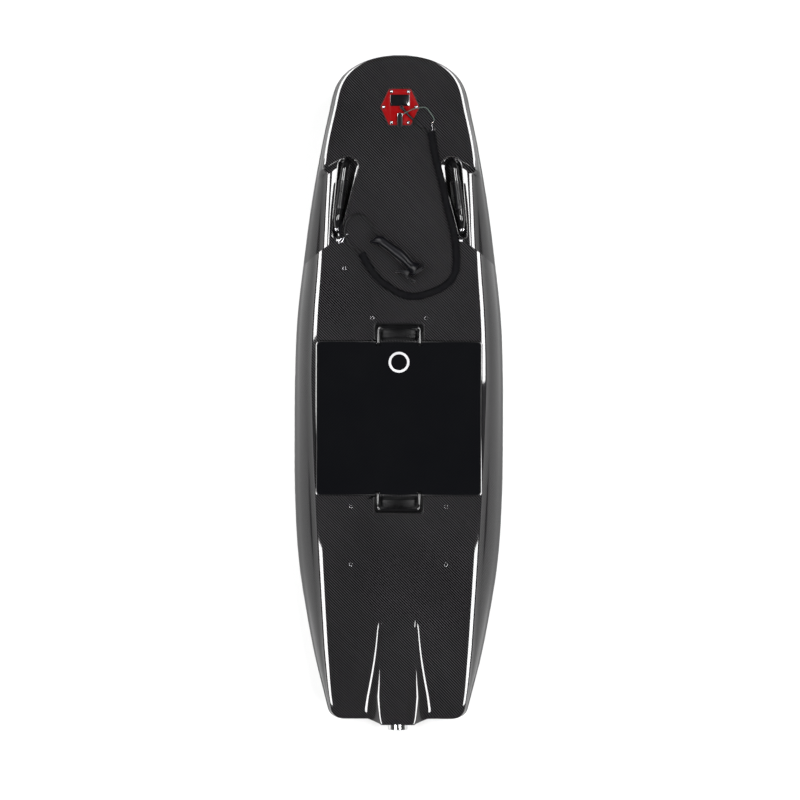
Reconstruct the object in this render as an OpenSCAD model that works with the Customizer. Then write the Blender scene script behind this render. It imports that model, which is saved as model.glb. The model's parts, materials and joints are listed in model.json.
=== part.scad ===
// Electric jet surfboard: hollow carbon hull, lift-out battery cassette, water-jet drive,
// hexagonal control plate with a magnetic key, and a wired throttle handset.
// +Y points to the nose, +X to the rider's right, Z = 0 is the flat bottom. Millimetres.

/* [Hull] */
// Widest beam of the hull
beam = 565; // [560:1:570]
// Height of the deck at mid length above the flat bottom
deck_h = 150; // [149:0.5:151]
// Extra deck height at the nose tip
nose_sheer = 46; // [40:1:50]
// Drop of the deck on each side of the pump hump, at the transom
tail_fall = 28; // [24:1:30]
// Rise of the bottom at the transom
tail_rocker = 50; // [48:1:52]
// Thickness of the deck and bottom laminate
skin = 4; // [3.5:0.1:4]
// Depth of the scooped facet outboard of each handle
scoop_depth = 9; // [5:1:12]

/* [Battery cassette] */
// Width of the cassette lid
lid_w = 444; // [440:1:446]
// Length of the cassette lid
lid_l = 414; // [412:1:414]
// Corner radius of the lid
lid_r = 11; // [8:1:14]
// Thickness of the lid plate
lid_t = 4; // [3.8:0.1:4]
// Diameter of the round bar that each bail is bent from
bail_d = 8; // [7:0.2:8]

/* [Handles] */
// Diameter of the side handle tube
handle_d = 19; // [17:1:19]
// Depth of the finger pocket below the deck
pocket_depth = 26; // [22:1:26]
// Diameter of the ribbed rubber grip
grip_d = 23; // [22:0.5:24]

/* [Control plate] */
// Thickness of the red plate
plate_t = 4; // [3:0.5:5]
// Diameter of the screw heads
plate_screw_d = 10; // [8:0.5:10]

/* [Water jet] */
// Height of the pump and shaft axis
jet_z = 92; // [91:0.5:93]
// Outer radius of the pump housing
pump_r = 38; // [37:0.5:38]
// Inner radius of the pump housing
bore_r = 34; // [33:0.5:34]
// Radius of the drive shaft
shaft_r = 6; // [5:0.5:6]

/* [Hidden] */
$fn = 48;

// The hull's main stations along the board
nose_y = 908;
tail_y = -877;
hump_end = 15;         // how far the pump hump reaches behind the transom
nose_start = 780;      // where the outline begins to round into the nose
nose_roll = 16;        // length over which the nose edge rounds over
nose_min_half = 20;    // half width of the blunt nose tip
corner_r = 25;         // plan radius of the transom corners
sheer_from = 250;
rocker_from = 300;
fall_from = -600;
tail_rocker_from = -500;
nose_thick = 36;
crown = 1.5;            // the deck is this much lower at its edges than in the middle
// Half width of the rail at each station: [y, half width]
rail_line = [[-900, 178], [-850, 190], [-720, 223], [-600, 247], [-450, 270], [-280, 280.5],
    [-100, 282.5], [60, 281.5], [200, 276], [360, 258.5], [520, 237], [680, 208], [780, 186],
    [908, 160]];
// Half width of the flat deck at each station
deck_line = [[-900, 162], [-850, 176], [-720, 190], [-600, 198], [-450, 207], [-300, 215],
    [-100, 224], [60, 228], [200, 224], [386, 211], [540, 203], [655, 195], [790, 168],
    [908, 146]];
// Half width of the pump hump's flat top and of its foot
hump_line = [[-892, 61], [-750, 50], [-640, 46]];
foot_line = [[-880, 103], [-683, 66], [-600, 56]];
hump_from = -596;
hump_ramp = 46;
hump_rise = 5;
// The scooped facet lies between these two stations, and its edges run back along the rail
scoop_front = 654;
scoop_back = 408;
scoop_skew = 62;
scoop_in_front = 132;  // where the facet's inner edge starts, at the front and back stations
scoop_in_back = 181;

function clamp01(t) = min(1, max(0, t));
function ease(t) = let (u = clamp01(t)) u * u * (3 - 2 * u);
function span(k, v, i = 0) = (i >= len(k) - 2 || v < k[i + 1][0]) ? i : span(k, v, i + 1);
function chord(k, i) = (k[i + 1][1] - k[i][1]) / (k[i + 1][0] - k[i][0]);
function lean(k, i) = i == 0 ? chord(k, 0)
    : i == len(k) - 1 ? chord(k, i - 1)
    : (chord(k, i - 1) + chord(k, i)) / 2;
// Smooth curve through the stations k = [[place, value], ...]
function curve(k, v) = let (i = span(k, v), h = k[i + 1][0] - k[i][0],
    t = clamp01((v - k[i][0]) / h))
    (2 * t^3 - 3 * t^2 + 1) * k[i][1] + (t^3 - 2 * t^2 + t) * h * lean(k, i)
    + (3 * t^2 - 2 * t^3) * k[i + 1][1] + (t^3 - t^2) * h * lean(k, i + 1);

function nose_round(y) = y < nose_y - nose_roll ? 0
    : 1 - sqrt(max(0, 1 - ((y - nose_y + nose_roll) / nose_roll)^2));
function nose_cap(y) = y < nose_start ? 1
    : sqrt(max(0, 1 - ((y - nose_start) / (nose_y - nose_start))^3));
function corner_cut(y) = let (d = tail_y + corner_r - y)
    d < 0 ? 0 : corner_r * (1 - sqrt(max(0, 1 - (d / corner_r)^2)));
function rail_half(y) =
    max(nose_min_half, curve(rail_line, y) * nose_cap(y) * beam / 565 - corner_cut(y));
function deck_half(y) = rail_half(y) * curve(deck_line, y) / curve(rail_line, y);
function deck_z(y) = deck_h
    + (y > sheer_from ? nose_sheer * ((y - sheer_from) / (nose_y - sheer_from))^2 : 0)
    - (y < fall_from ? tail_fall * ((fall_from - y) / (fall_from - tail_y))^2 : 0)
    - 14 * nose_round(y);
function bottom_z(y) =
    (y > rocker_from ? (deck_h + nose_sheer - nose_thick)
        * ((y - rocker_from) / (nose_y - rocker_from))^2 : 0)
    + (y < tail_rocker_from ? tail_rocker
        * ((tail_rocker_from - y) / (tail_rocker_from - tail_y))^2 : 0)
    + 8 * nose_round(y);
function rail_z(y) = bottom_z(y) + 0.42 * (deck_z(y) - bottom_z(y));
function hump_z(y) = y > hump_from ? deck_z(y)
    : deck_h + hump_rise * ease((hump_from - y) / hump_ramp)
    - 4 * ((fall_from - min(y, fall_from)) / (fall_from - tail_y))^2;
function scoop_in(s) = scoop_in_back + (scoop_in_front - scoop_in_back)
    * clamp01((s - scoop_back) / (scoop_front - scoop_back));
function skew(s) = scoop_skew * ease((760 - s) / (760 - scoop_front))
    * ease((s - 250) / (scoop_back - 250));
function scoop(s) = s > scoop_back ? ease((scoop_front - s) / 24) : 0;

// Half a cross-section at station s, from the centre line out to the rail.
// Each entry is [x, y, top z, bottom z]. inset shrinks it towards the core.
roll = 13;             // size of the rounded edge between deck and side facet
rail_a = 12;           // width and height of the rounded rail
rail_b = 18;
function section(s, inset = 0) =
    let (ye = s - skew(s) * clamp01((deck_half(s) - scoop_in(s)) / (rail_half(s) - scoop_in(s))),
        yr = s - skew(s),
        h = rail_half(yr),
        a = min(rail_a, 0.3 * h),
        side_x = h - a * (1 - cos(50)),
        e = min(deck_half(ye) - 13 * scoop(s), side_x - 4),
        ze = deck_z(ye) - crown - scoop_depth * scoop(s),
        zb = bottom_z(yr),
        zr = rail_z(yr),
        b = min(rail_b, 0.4 * (ze - zb)),
        side = [side_x, zr + b * sin(50)],
        knee = [e + min(roll, 0.25 * (h - e) + 3) * 0.7, ze],
        reach = norm(side - knee),
        facet = knee + (side - knee) * min(0.6, roll / reach),
        p = min(curve(hump_line, s), 0.3 * e),
        f = min(curve(foot_line, s), 0.55 * e),
        xi = min(scoop_in(s), 0.85 * e),
        zh = hump_z(s),
        zd = deck_z(s),
        bend = function (t) (1 - t)^2 * [e, ze] + 2 * t * (1 - t) * knee + t^2 * facet,
        tops = [[0, zh], [p - min(7, p / 3), zh - 0.2], [p, zh - 0.3 - 0.06 * (zh - zd)],
            [p + 0.28 * (f - p), zd - 0.4 + 0.42 * (zh - zd)], [f, zd - 0.4], [xi, zd - 1],
            bend(0), bend(1 / 3), bend(2 / 3), bend(1),
            (facet + side) / 2 + [0.9, 0.6] * min(1.6, 0.05 * reach), side,
            [h - a * (1 - cos(25)), zr + b * sin(25)], [h, zr]],
        bilge = min(50, 0.5 * h),
        low = zr - b * sin(50))
    [for (j = [0:len(tops) - 1])
        let (x = tops[j][0],
            y = s - skew(s) * clamp01((x - xi) / (h - xi))
                - hump_end * ease((-850 - s) / 27) * clamp01((f - x) / (f - p)),
            z2 = j == 13 ? zr : j == 12 ? zr - b * sin(25)
                : zb + (low - zb) * clamp01((x - h + bilge) / (bilge - h + side_x))^1.7)
        [x * (h - 1.5 * inset) / h, y, tops[j][1] - (j == 13 ? 0 : inset),
            z2 + (j == 13 ? 0 : inset)]];

// The left half mirrors the right: point j of half-section h, with its z from column c
function at(h, j, c) = let (q = h[abs(j)]) [sign(j) * q[0], q[1], q[c]];
function pair(a, b, c, d) = [[a, b, c], [a, c, d]];
// Closed solid between an outer and an inner chain of points at each station
module between(outer, inner) {
    n = len(outer[0]);
    turn = 2 * n;
    last = (len(outer) - 1) * turn;
    walls = [for (i = [0:turn:last - turn], k = [0:turn - 1])
        let (m = (k + 1) % turn) each pair(i + k, i + m, i + turn + m, i + turn + k)];
    // Each end is closed by quads from chain to chain, split so that no triangle is flat
    function end_quad(c, j) = let (q = [c + j, c + j + 1, c + turn - 2 - j, c + turn - 1 - j])
        2 * j < n - 1 ? pair(q[1], q[2], q[3], q[0]) : pair(q[0], q[1], q[2], q[3]);
    caps = [for (j = [0:n - 2], c = [0, last]) each
        c == last ? end_quad(c, j) : [for (t = end_quad(c, j)) [t[2], t[1], t[0]]]];
    polyhedron(points = [for (i = [0:len(outer) - 1])
            each concat(outer[i], [for (j = [n - 1:-1:0]) inner[i][j]])],
        faces = concat(walls, caps));
}
rim = 13;                          // number of steps from the centre line to the rail
wall_front = 893;                  // beyond these stations the mouldings are solid
wall_back = -868;
seam_ridge = 2;                    // the seam is this much higher in the middle of those walls
// One moulding: the deck (c = 2) or the bottom (c = 3), closed at the nose and the transom
module moulding(stations, c) {
    outer = [for (s = stations) let (h = section(s)) [for (j = [-rim:rim]) at(h, j, c)]];
    inner = [for (s = stations) let (h = section(s, skin), seam = h[rim][2])
        [for (j = [-rim:rim]) let (q = at(h, j, c))
            s < wall_back || s > wall_front
                ? [0.8 * q[0], q[1], seam + seam_ridge * (1 - (j / rim)^2)] : q]];
    if (c == 2) between(inner, outer); else between(outer, inner);
}
// The whole hull's shape, made smaller all round by inset
module core(stations, inset) {
    halves = [for (s = stations) section(s, inset)];
    between([for (h = halves) [for (j = [-rim:rim]) at(h, j, 3) - [0, 0, 0.01]]],
        [for (h = halves) [for (j = [-rim:rim]) at(h, j, 2)]]);
}

hull_stations = [-877, -870, -866, -850, -800, -740, -690, -650, -620, -596, -500, -400, -300,
    -200, -100, 0, 100, 200, 250, 300, 350, 407, 411, 450, 540, 620, 640, 654, 700, 740, 780,
    820, 850, 872, 890, 896, 903, 908];

// Kept as one mesh, because the skin is a free-form surface
module one_mesh() resize([0, 0, 0]) children();

// Rounded rectangle, drawn flat, and the same as a slab
module round_rect(w, l, r) {
    square([w - 2 * r, l], center = true);
    square([w, l - 2 * r], center = true);
    for (x = [-1, 1], y = [-1, 1]) translate([x * (w / 2 - r), y * (l / 2 - r)]) circle(r);
}
module slab(w, l, h, r) linear_extrude(h) round_rect(w, l, r);

// Tube swept through the points. size = [half width, half height], ref is "up" for the section
function unit(v) = v / norm(v);
function rung(pts, i) = unit(pts[min(i + 1, len(pts) - 1)] - pts[max(i - 1, 0)]);
function bead(a, b, c, d, t) = 0.5 * (2 * b + (c - a) * t + (2 * a - 5 * b + 4 * c - d) * t^2
    + (3 * b - a - 3 * c + d) * t^3);
// A smooth line through hand-set points, cut into n steps between neighbours
function smooth(p, n) = let (m = len(p) - 1)
    concat([for (i = [0:m - 1], k = [0:n - 1])
        bead(p[max(i - 1, 0)], p[i], p[i + 1], p[min(i + 2, m)], k / n)], [p[m]]);
module tube(pts, size, sides = 8, ref = [0, 0, 1]) {
    rings = [for (i = [0:len(pts) - 1])
        let (t = rung(pts, i), s = unit(cross(t, ref)), u = cross(s, t),
            w = is_list(size[0]) ? size[i] : size)
        [for (k = [0:sides - 1]) let (g = 360 * k / sides)
            pts[i] + w[0] * cos(g) * s + w[1] * sin(g) * u]];
    m = len(pts);
    polyhedron(points = [for (r = rings) each r],
        faces = concat([for (i = [0:m - 2], k = [0:sides - 1])
            let (a = i * sides + k, b = i * sides + (k + 1) % sides)
            each [[a, b, b + sides], [a, b + sides, a + sides]]],
            [[for (k = [sides - 1:-1:0]) k], [for (k = [0:sides - 1]) (m - 1) * sides + k]]));
}

// ---- battery cassette and bay, sizes worked out from the lid ----
bay_y = -67;                       // middle of the cassette along the board
ledge_z = deck_h - skin;           // the bay's sealing ledge, level with the deck's inside
seal_t = 1.5;
lid_z = ledge_z + seal_t;
pad_z = lid_z + lid_t;
pad_t = 2;
case_w = lid_w - 42;
case_l = lid_l - 42;
case_z = 28;
bay_gap = 4;                       // clearance between the case and the bay, all round
bay_floor = 20;
wall = 4;
lid_front = bay_y + lid_l / 2;
lid_back = bay_y - lid_l / 2;
bail_x = 56;                       // half the spacing of each bail's arms
bail_in = 6;                       // how far the bail's pins lie inside the lid's edge
bail_z = lid_z + lid_t / 2 - 0.1;
bail_reach = 45;                   // from the pins to the bail's cross bar
eye_r = bail_d / 2 + 0.3;
pin_r = 1.75;
tray_w = 131;
tray_l = 47;
tray_z = deck_h - 24;
tray_wall = 3;

module at_bails() {
    for (end = [1, -1])
        translate([0, bay_y + end * (lid_l / 2 - bail_in), bail_z])
        rotate(end > 0 ? 0 : 180)
        children();
}
// Gaps in the lid's edge for the arms of the bails
module bail_notches(z, h) {
    at_bails()
        for (x = [-bail_x, bail_x])
        translate([x - 6, -5.5, z - bail_z])
        cube([12, bail_in + 7, h]);
}

module battery_bay() color([0.10, 0.10, 0.11])
difference() {
    union() {
        translate([0, bay_y, bay_floor - wall])
        slab(case_w + 2 * (bay_gap + wall), case_l + 2 * (bay_gap + wall),
            ledge_z - bay_floor + wall, 20);
        translate([0, bay_y, ledge_z - 5]) slab(lid_w + 5.4, lid_l + 17, 5, 13);
    }
    translate([0, bay_y, bay_floor])
    slab(case_w + 2 * bay_gap, case_l + 2 * bay_gap, ledge_z, 17);
    bail_notches(ledge_z - 1.5, 10);
    for (y = [lid_front, lid_back - 20]) translate([-70, y, ledge_z - 6]) cube([140, 20, 10]);
}
module bay_pads() color([0.05, 0.05, 0.05])
for (x = [-160, 160], y = [-140, 140])
    translate([x, bay_y + y, bay_floor]) cylinder(r = 15, h = case_z - bay_floor);

// Black pan under each bail, where the fingers go
module recess_tray(end) color([0.07, 0.07, 0.08]) {
    y0 = bay_y + end * (lid_l / 2 + tray_l / 2 + 1);
    difference() {
        translate([0, y0 + end, tray_z - tray_wall])
        slab(tray_w + 2 * tray_wall, tray_l + 2 * tray_wall - 2,
            deck_h - tray_z + tray_wall - 0.2, 10);
        translate([0, y0, tray_z]) slab(tray_w, tray_l - 2, 40, 8);
        translate([-tray_w / 2 - 5, y0 - end * 25 - 5, ledge_z - 7]) cube([tray_w + 10, 10, 14]);
    }
    translate([-48, y0 - 14, tray_z]) cube([96, 26, 2]);
}
module front_recess_tray() recess_tray(1);
module rear_recess_tray() recess_tray(-1);

plug_y = bay_y - case_l / 2 + 18;
plug_z = 50;
module battery_case() color([0.12, 0.12, 0.13])
difference() {
    translate([0, bay_y, case_z]) slab(case_w, case_l, lid_z - case_z, 16);
    difference() {
        translate([0, bay_y, case_z + wall])
        slab(case_w - 2 * wall, case_l - 2 * wall, lid_z, 12);
        translate([-44, plug_y - 22, 0]) cube([88, 44, plug_z + wall]);
    }
    translate([-40, plug_y - 18, case_z - 1]) cube([80, 36, plug_z - case_z + 1]);
    for (x = [-20, 20]) translate([x, plug_y, plug_z - 1]) cylinder(r = 6, h = wall + 2);
}
module battery_lid() color([0.08, 0.08, 0.09])
difference() {
    translate([0, bay_y, lid_z]) slab(lid_w, lid_l, lid_t, lid_r);
    bail_notches(lid_z - 1, lid_t + 2);
    at_bails()
        for (x = [-bail_x - 11, bail_x - 11])
        translate([x, 0, 0]) rotate([0, 90, 0]) cylinder(r = pin_r, h = 22);
}
module lid_gasket() color([0.03, 0.03, 0.03])
translate([0, bay_y, ledge_z])
difference() {
    slab(lid_w - 22, lid_l - 22, seal_t, 16);
    translate([0, 0, -1]) slab(lid_w - 32, lid_l - 32, seal_t + 2, 14);
}
module deck_pad() color([0.07, 0.08, 0.10])
difference() {
    translate([0, bay_y, pad_z]) slab(lid_w - 4, lid_l - 4, pad_t, lid_r - 2);
    bail_notches(pad_z - 1, pad_t + 2);
}
ring_y = 84;
module pad_ring() color([0.92, 0.92, 0.92])
translate([0, ring_y, pad_z + pad_t])
difference() {
    cylinder(r = 28, h = 0.4);
    translate([0, 0, -1]) cylinder(r = 21.5, h = 3);
}
module cell_block() color([0.15, 0.35, 0.65])
translate([0, bay_y + 12, case_z + wall])
slab(330, 290, 62, 4);
module battery_board() color([0.05, 0.35, 0.15])
translate([0, bay_y + 12, case_z + wall + 62]) {
    slab(200, 120, 1.6, 2);
    for (x = [-60, 0, 60]) translate([x - 15, -20, 1.6]) cube([30, 40, 9]);
}
// Two contacts under the case that drop into the bay's socket
module power_plug() color([0.75, 0.6, 0.3])
for (x = [-20, 20]) translate([x, plug_y, 30]) {
    cylinder(r = 4, h = plug_z + wall - 30);
    translate([0, 0, plug_z + wall - 30]) cylinder(r = 8, h = 4);
}
module power_socket() color([0.06, 0.06, 0.06])
difference() {
    translate([-35, plug_y - 15, bay_floor]) cube([70, 30, 24]);
    for (x = [-20, 20]) translate([x, plug_y, 28]) cylinder(r = 4.1, h = 30);
}
module bail_pins() color([0.7, 0.7, 0.72])
at_bails()
    for (x = [-bail_x - 10.5, bail_x - 10.5])
    translate([x, 0, 0]) rotate([0, 90, 0]) cylinder(r = pin_r, h = 21);

// U-shaped bar with an eye at each end, lying forward from its pins
module bail() color([0.05, 0.05, 0.06]) {
    bend_r = 10;
    difference() {
        for (side = [-1, 1]) {
            translate([side * bail_x - 4.6, 0, 0]) rotate([0, 90, 0]) cylinder(r = eye_r, h = 9.2);
            translate([side * bail_x, 0, 0])
            rotate([-90, 0, 0]) cylinder(d = bail_d, h = bail_reach - bend_r);
        }
        translate([-bail_x - 6, 0, 0])
        rotate([0, 90, 0]) cylinder(r = pin_r + 0.05, h = 2 * bail_x + 12);
    }
    for (side = [-1, 1])
        translate([side * (bail_x - bend_r), bail_reach - bend_r, 0])
        mirror([side < 0 ? 1 : 0, 0, 0])
        rotate_extrude(angle = 90) translate([bend_r, 0]) circle(d = bail_d);
    translate([bend_r - bail_x, bail_reach, 0])
    rotate([0, 90, 0]) cylinder(d = bail_d, h = 2 * (bail_x - bend_r));
}
module front_bail() translate([0, lid_front - bail_in, bail_z]) bail();
module rear_bail() translate([0, lid_back + bail_in, bail_z]) rotate(180) bail();

// ---- foot strap inserts ----
insert_r = 2.7;
rear_insert_y = -382;
rear_insert_dx = 128;
rear_insert_dy = 78;
insert_spots = [[148, 336], [-148, 336], [72.5, 202.5], [-72.5, 202.5],
    [rear_insert_dx, rear_insert_y + rear_insert_dy],
    [-rear_insert_dx, rear_insert_y + rear_insert_dy],
    [rear_insert_dx, rear_insert_y - rear_insert_dy],
    [-rear_insert_dx, rear_insert_y - rear_insert_dy]];
module strap_inserts() color([0.75, 0.75, 0.77])
for (p = insert_spots) {
    top = deck_z(p[1]);
    difference() {
        union() {
            translate([p[0], p[1], top - 20]) cylinder(r = 4.5, h = 20);
            translate([p[0], p[1], top + 0.1]) cylinder(r = 5.7, h = 0.2);
            translate([p[0], p[1], top - 1]) cylinder(r = 4.5, h = 1.2);
        }
        translate([p[0], p[1], top - 16]) cylinder(r = insert_r, h = 20);
    }
}

// ---- side handles, laid out on the deck's slope at their middle ----
handle_y = 530;
handle_slope = atan(2 * nose_sheer * (handle_y - sheer_from) / (nose_y - sheer_from)^2);
pocket_wall = 3;
pocket_head = [139, 609];
pocket_toe = [170.5, 429.5];
pocket_head_r = 26;
pocket_toe_r = 11;
module at_handle(side) {
    translate([0, handle_y, deck_z(handle_y)])
    rotate([handle_slope, 0, 0])
    translate([0, -handle_y, 0])
    mirror([side < 0 ? 1 : 0, 0, 0])
    children();
}
// Teardrop outline of the finger pocket, grown by g
module teardrop(g) {
    axis = pocket_toe - pocket_head;
    lean_to = atan2(axis[1], axis[0]);
    a = acos((pocket_head_r - pocket_toe_r) / norm(axis));
    polygon(concat(
        [for (t = [0:11]) pocket_head + (pocket_head_r + g)
            * [cos(lean_to + a + t * (360 - 2 * a) / 11), sin(lean_to + a + t * (360 - 2 * a) / 11)]],
        [for (t = [0:5]) pocket_toe + (pocket_toe_r + g)
            * [cos(lean_to - a + t * 2 * a / 5), sin(lean_to - a + t * 2 * a / 5)]]));
}
foot_y = 441;
foot_x = 168.5;
bar_z = 13;                        // height of the bar's axis above the deck
grip_low = [165, 482, bar_z];
grip_high = [150.5, 590, bar_z];
module handle_pocket(side) color([0.09, 0.09, 0.10])
at_handle(side) {
    difference() {
        translate([0, 0, -pocket_depth - pocket_wall])
        linear_extrude(pocket_depth + pocket_wall - 1) teardrop(pocket_wall);
        translate([0, 0, -pocket_depth]) linear_extrude(60) teardrop(0);
    }
    translate([foot_x, foot_y, -pocket_depth]) cylinder(r = 9, h = pocket_depth - 9);
}
module left_handle_pocket() handle_pocket(-1);
module right_handle_pocket() handle_pocket(1);
module handle_bar(side) color([0.04, 0.04, 0.05])
at_handle(side) one_mesh() difference() {
    union() {
        translate([foot_x, foot_y, -9]) cylinder(r = 9, h = 7);
        handle_tube();
    }
    translate([foot_x, foot_y, -10]) cylinder(r = 3.2, h = 20);
    translate([foot_x, foot_y, -2]) cylinder(r = 5.4, h = 30);
    translate([foot_x, foot_y, -40]) cylinder(r = 9.3, h = 30.9);
}
module handle_tube() {
    low_end = smooth([[foot_x, foot_y + 7, -5], [167.5, 458, 4], [166.5, 469, 10.5], grip_low], 3);
    high_end = smooth([grip_high, [148, 606, 10], [143.5, 617, -1], [141, 621, -14]], 3);
    path = concat(low_end, high_end, [[140.5, 621.5, 0.8 - pocket_depth]]);
    tube(path, [handle_d / 2, handle_d / 2], 12, [1, 0.2, 0.05]);
}
module left_handle_bar() handle_bar(-1);
module right_handle_bar() handle_bar(1);
// Rubber grips with ribs, around the straight part of each bar
module handle_grips() color([0.06, 0.06, 0.06])
for (side = [-1, 1]) at_handle(side) {
    along = grip_high - grip_low;
    grip_len = 76;
    collar = 9;
    translate(grip_low + along * 0.14)
    rotate([-90, 0, -atan2(along[0], along[1])])
    difference() {
        union() {
            cylinder(d = grip_d - 1.6, h = grip_len);
            for (z = [0, grip_len - collar]) translate([0, 0, z]) cylinder(d = grip_d, h = collar);
            for (k = [0:8]) translate([0, 0, collar + 3 + k * 6.2]) cylinder(d = grip_d, h = 3);
        }
        translate([0, 0, -1]) cylinder(d = handle_d + 0.8, h = grip_len + 2);
    }
}
// ---- control plate, on the deck's slope near the nose ----
plate_y = 769;
plate_slope = atan(2 * nose_sheer * (plate_y - sheer_from) / (nose_y - sheer_from)^2);
gasket_z = 0.4;
gasket_t = 2;
plate_z = gasket_z + gasket_t;
plate_top = plate_z + plate_t;
plate_corners = [[44, 0], [24.5, 41], [-24.5, 41], [-44, 0], [-24.5, -41], [24.5, -41]];
plate_screw_spots = [[44.2, 0], [22.8, 41.6], [-22.8, 41.6], [-44.2, 0], [-22.8, -41.6],
    [22.8, -41.6]];
key_spot = [0, -22];
module at_plate() translate([0, plate_y, deck_z(plate_y)]) rotate([plate_slope, 0, 0]) children();
module plate_outline(g) offset(r = 7 + g) polygon(plate_corners);
module plate_holes(r) for (p = plate_screw_spots) translate([p[0], p[1], -30]) cylinder(r = r, h = 60);
module control_gasket() color([0.03, 0.03, 0.03])
at_plate() difference() {
    translate([0, 0, gasket_z]) linear_extrude(gasket_t) plate_outline(3);
    translate([0, 0, -1]) slab(62, 62, 10, 4);
    plate_holes(2.6);
}
module control_plate() color([0.80, 0.02, 0.05])
at_plate() difference() {
    translate([0, 0, plate_z]) linear_extrude(plate_t) plate_outline(0);
    translate([0, 18, plate_top - 2]) slab(52, 31, 5, 2);
    translate([0, 18, 0]) slab(44, 22, 20, 1);
    plate_holes(2.6);
}
module control_pod() color([0.08, 0.08, 0.08])
at_plate() difference() {
    translate([0, 0, plate_z - 24]) slab(61.4, 61.4, 24, 4);
    translate([0, 0, plate_z - 22]) slab(57, 57, 30, 3);
}
module control_board() color([0.05, 0.3, 0.15])
at_plate() {
    translate([0, 0, plate_z - 22]) slab(52, 52, 4, 2);
    translate([0, 18, plate_z - 18]) slab(38, 18, 17, 1);
}
module display_window() color([0.03, 0.03, 0.04])
at_plate() difference() {
    translate([0, 18, plate_top - 2]) slab(51, 30, 2.6, 1.5);
    translate([gland_spot[0], gland_spot[1], 0]) cylinder(r = 5.2, h = 20);
}
// Six domed screws in the plate and one in each handle's foot
module deck_screws() color([0.78, 0.78, 0.80]) {
    at_plate() for (p = plate_screw_spots) translate([p[0], p[1], plate_top]) difference() {
        union() {
            cylinder(d = plate_screw_d, h = 1.2);
            translate([0, 0, 1.2]) cylinder(d1 = plate_screw_d, d2 = plate_screw_d - 3, h = 1.4);
            translate([0, 0, -18]) cylinder(r = 2.4, h = 18);
        }
        translate([0, 0, 1.2]) cylinder(r = 2, h = 5, $fn = 6);
    }
    for (side = [-1, 1]) at_handle(side) translate([foot_x, foot_y, -2]) difference() {
        union() {
            cylinder(r = 5, h = 3);
            translate([0, 0, -7]) cylinder(r = 3, h = 7);
        }
        translate([0, 0, 1]) cylinder(r = 2, h = 5, $fn = 6);
    }
}
module key_seat() color([0.80, 0.80, 0.82])
at_plate() translate([key_spot[0], key_spot[1], plate_top]) difference() {
    cylinder(r = 7.4, h = 1.5);
    translate([0, 0, -1]) cylinder(r = 6.2, h = 5);
}
// Magnetic cap with a finger tab towards the tail
module magnetic_key() color([0.04, 0.04, 0.05])
at_plate() translate([key_spot[0], key_spot[1], plate_top + 0.05]) {
    cylinder(r = 6, h = 9);
    translate([-7.2, -26, 1.8]) cube([14.4, 22, 6]);
    translate([0, -26, 1.8]) cylinder(r = 7.2, h = 6);
}
gland_spot = [5, -1];
gland_turn = -48;                  // direction in which the cable leaves, seen from above
module cable_gland() color([0.05, 0.05, 0.05])
at_plate() translate([gland_spot[0], gland_spot[1], plate_top]) {
    cylinder(r = 5, h = 8);
    translate([0, 0, 4.5]) rotate([0, 90, gland_turn]) cylinder(r = 4, h = 12);
}

// ---- throttle handset, lying on the deck ----
// Its own axes: u from tip to flange, v to the nose side, w up from the deck
set_spot = [-92, 406];
set_turn = -27.3;
set_z = 18.5;
// [u, centre v, half width, half height]
set_shape = [[10, 8, 3, 3], [18, 12, 6, 7], [26, 19, 11, 11], [36, 23, 13, 13.5],
    [50, 21, 13, 14.5], [66, 18.5, 13, 15], [84, 15.5, 14.5, 15.5], [100, 13, 15, 16],
    [116, 8.5, 14, 16], [130, 3.5, 13, 15.5], [142, 0, 15, 16], [150, -1.5, 19, 18],
    [155, -2, 22, 19]];
module at_handset() translate([set_spot[0], set_spot[1], deck_h + 1.5 + set_z]) rotate(set_turn) children();
module handset_solid(shrink) {
    pts = [for (p = set_shape) [p[0], p[1], 0]];
    sizes = [for (p = set_shape) [max(1, p[2] - shrink), max(1, p[3] - shrink)]];
    last = len(pts) - 1;
    tube(shrink == 0 ? pts : [for (i = [2:last - 1]) pts[i]],
        shrink == 0 ? sizes : [for (i = [2:last - 1]) sizes[i]], 14);
}
module handset_shell(lower) color([0.13, 0.13, 0.14])
at_handset() one_mesh() difference() {
    handset_solid(0);
    handset_solid(3);
    mirror([0, 0, lower ? 0 : 1]) translate([-20, -60, 0]) cube([220, 120, 60]);
    trigger_slot();
    at_flange() translate([-60, -60, -0.1]) cube([120, 120, 60]);
    screw_spots(2.1, 5);
    translate([trigger_pivot[0], trigger_pivot[1], -9.1]) cylinder(r = 2.05, h = 18.2);
}
module handset_left_shell() handset_shell(false);
module handset_right_shell() handset_shell(true);
// Slot through the finger side, where the trigger's root goes in
trigger_pivot = [141, -8];
module trigger_slot() {
    translate([118, -60, -5]) cube([32, 55, 10]);
}
module at_flange() translate([159, -1.5, 0]) rotate([0, 90, -28]) children();
module handset_flange() color([0.16, 0.16, 0.17])
at_handset() at_flange()
for (layer = [[17.5, 7.5, 0], [15, 6, 3.5]])
    translate([0, 0, layer[2]])
    linear_extrude(3.5)
    for (y = [-1, 0, 1]) translate([0, y * layer[1]]) circle(layer[0]);
module handset_screws() color([0.75, 0.75, 0.77])
at_handset() screw_spots(2, 3.2);
module screw_spots(r, h) for (p = [[42, 32.2], [90, 26.4]])
    translate([p[0], p[1], 0]) rotate([-90, 0, -8]) cylinder(r = r, h = h);
module handset_sensor() color([0.05, 0.3, 0.15])
at_handset() translate([70, 9, -1]) cube([36, 12, 2]);
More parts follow.
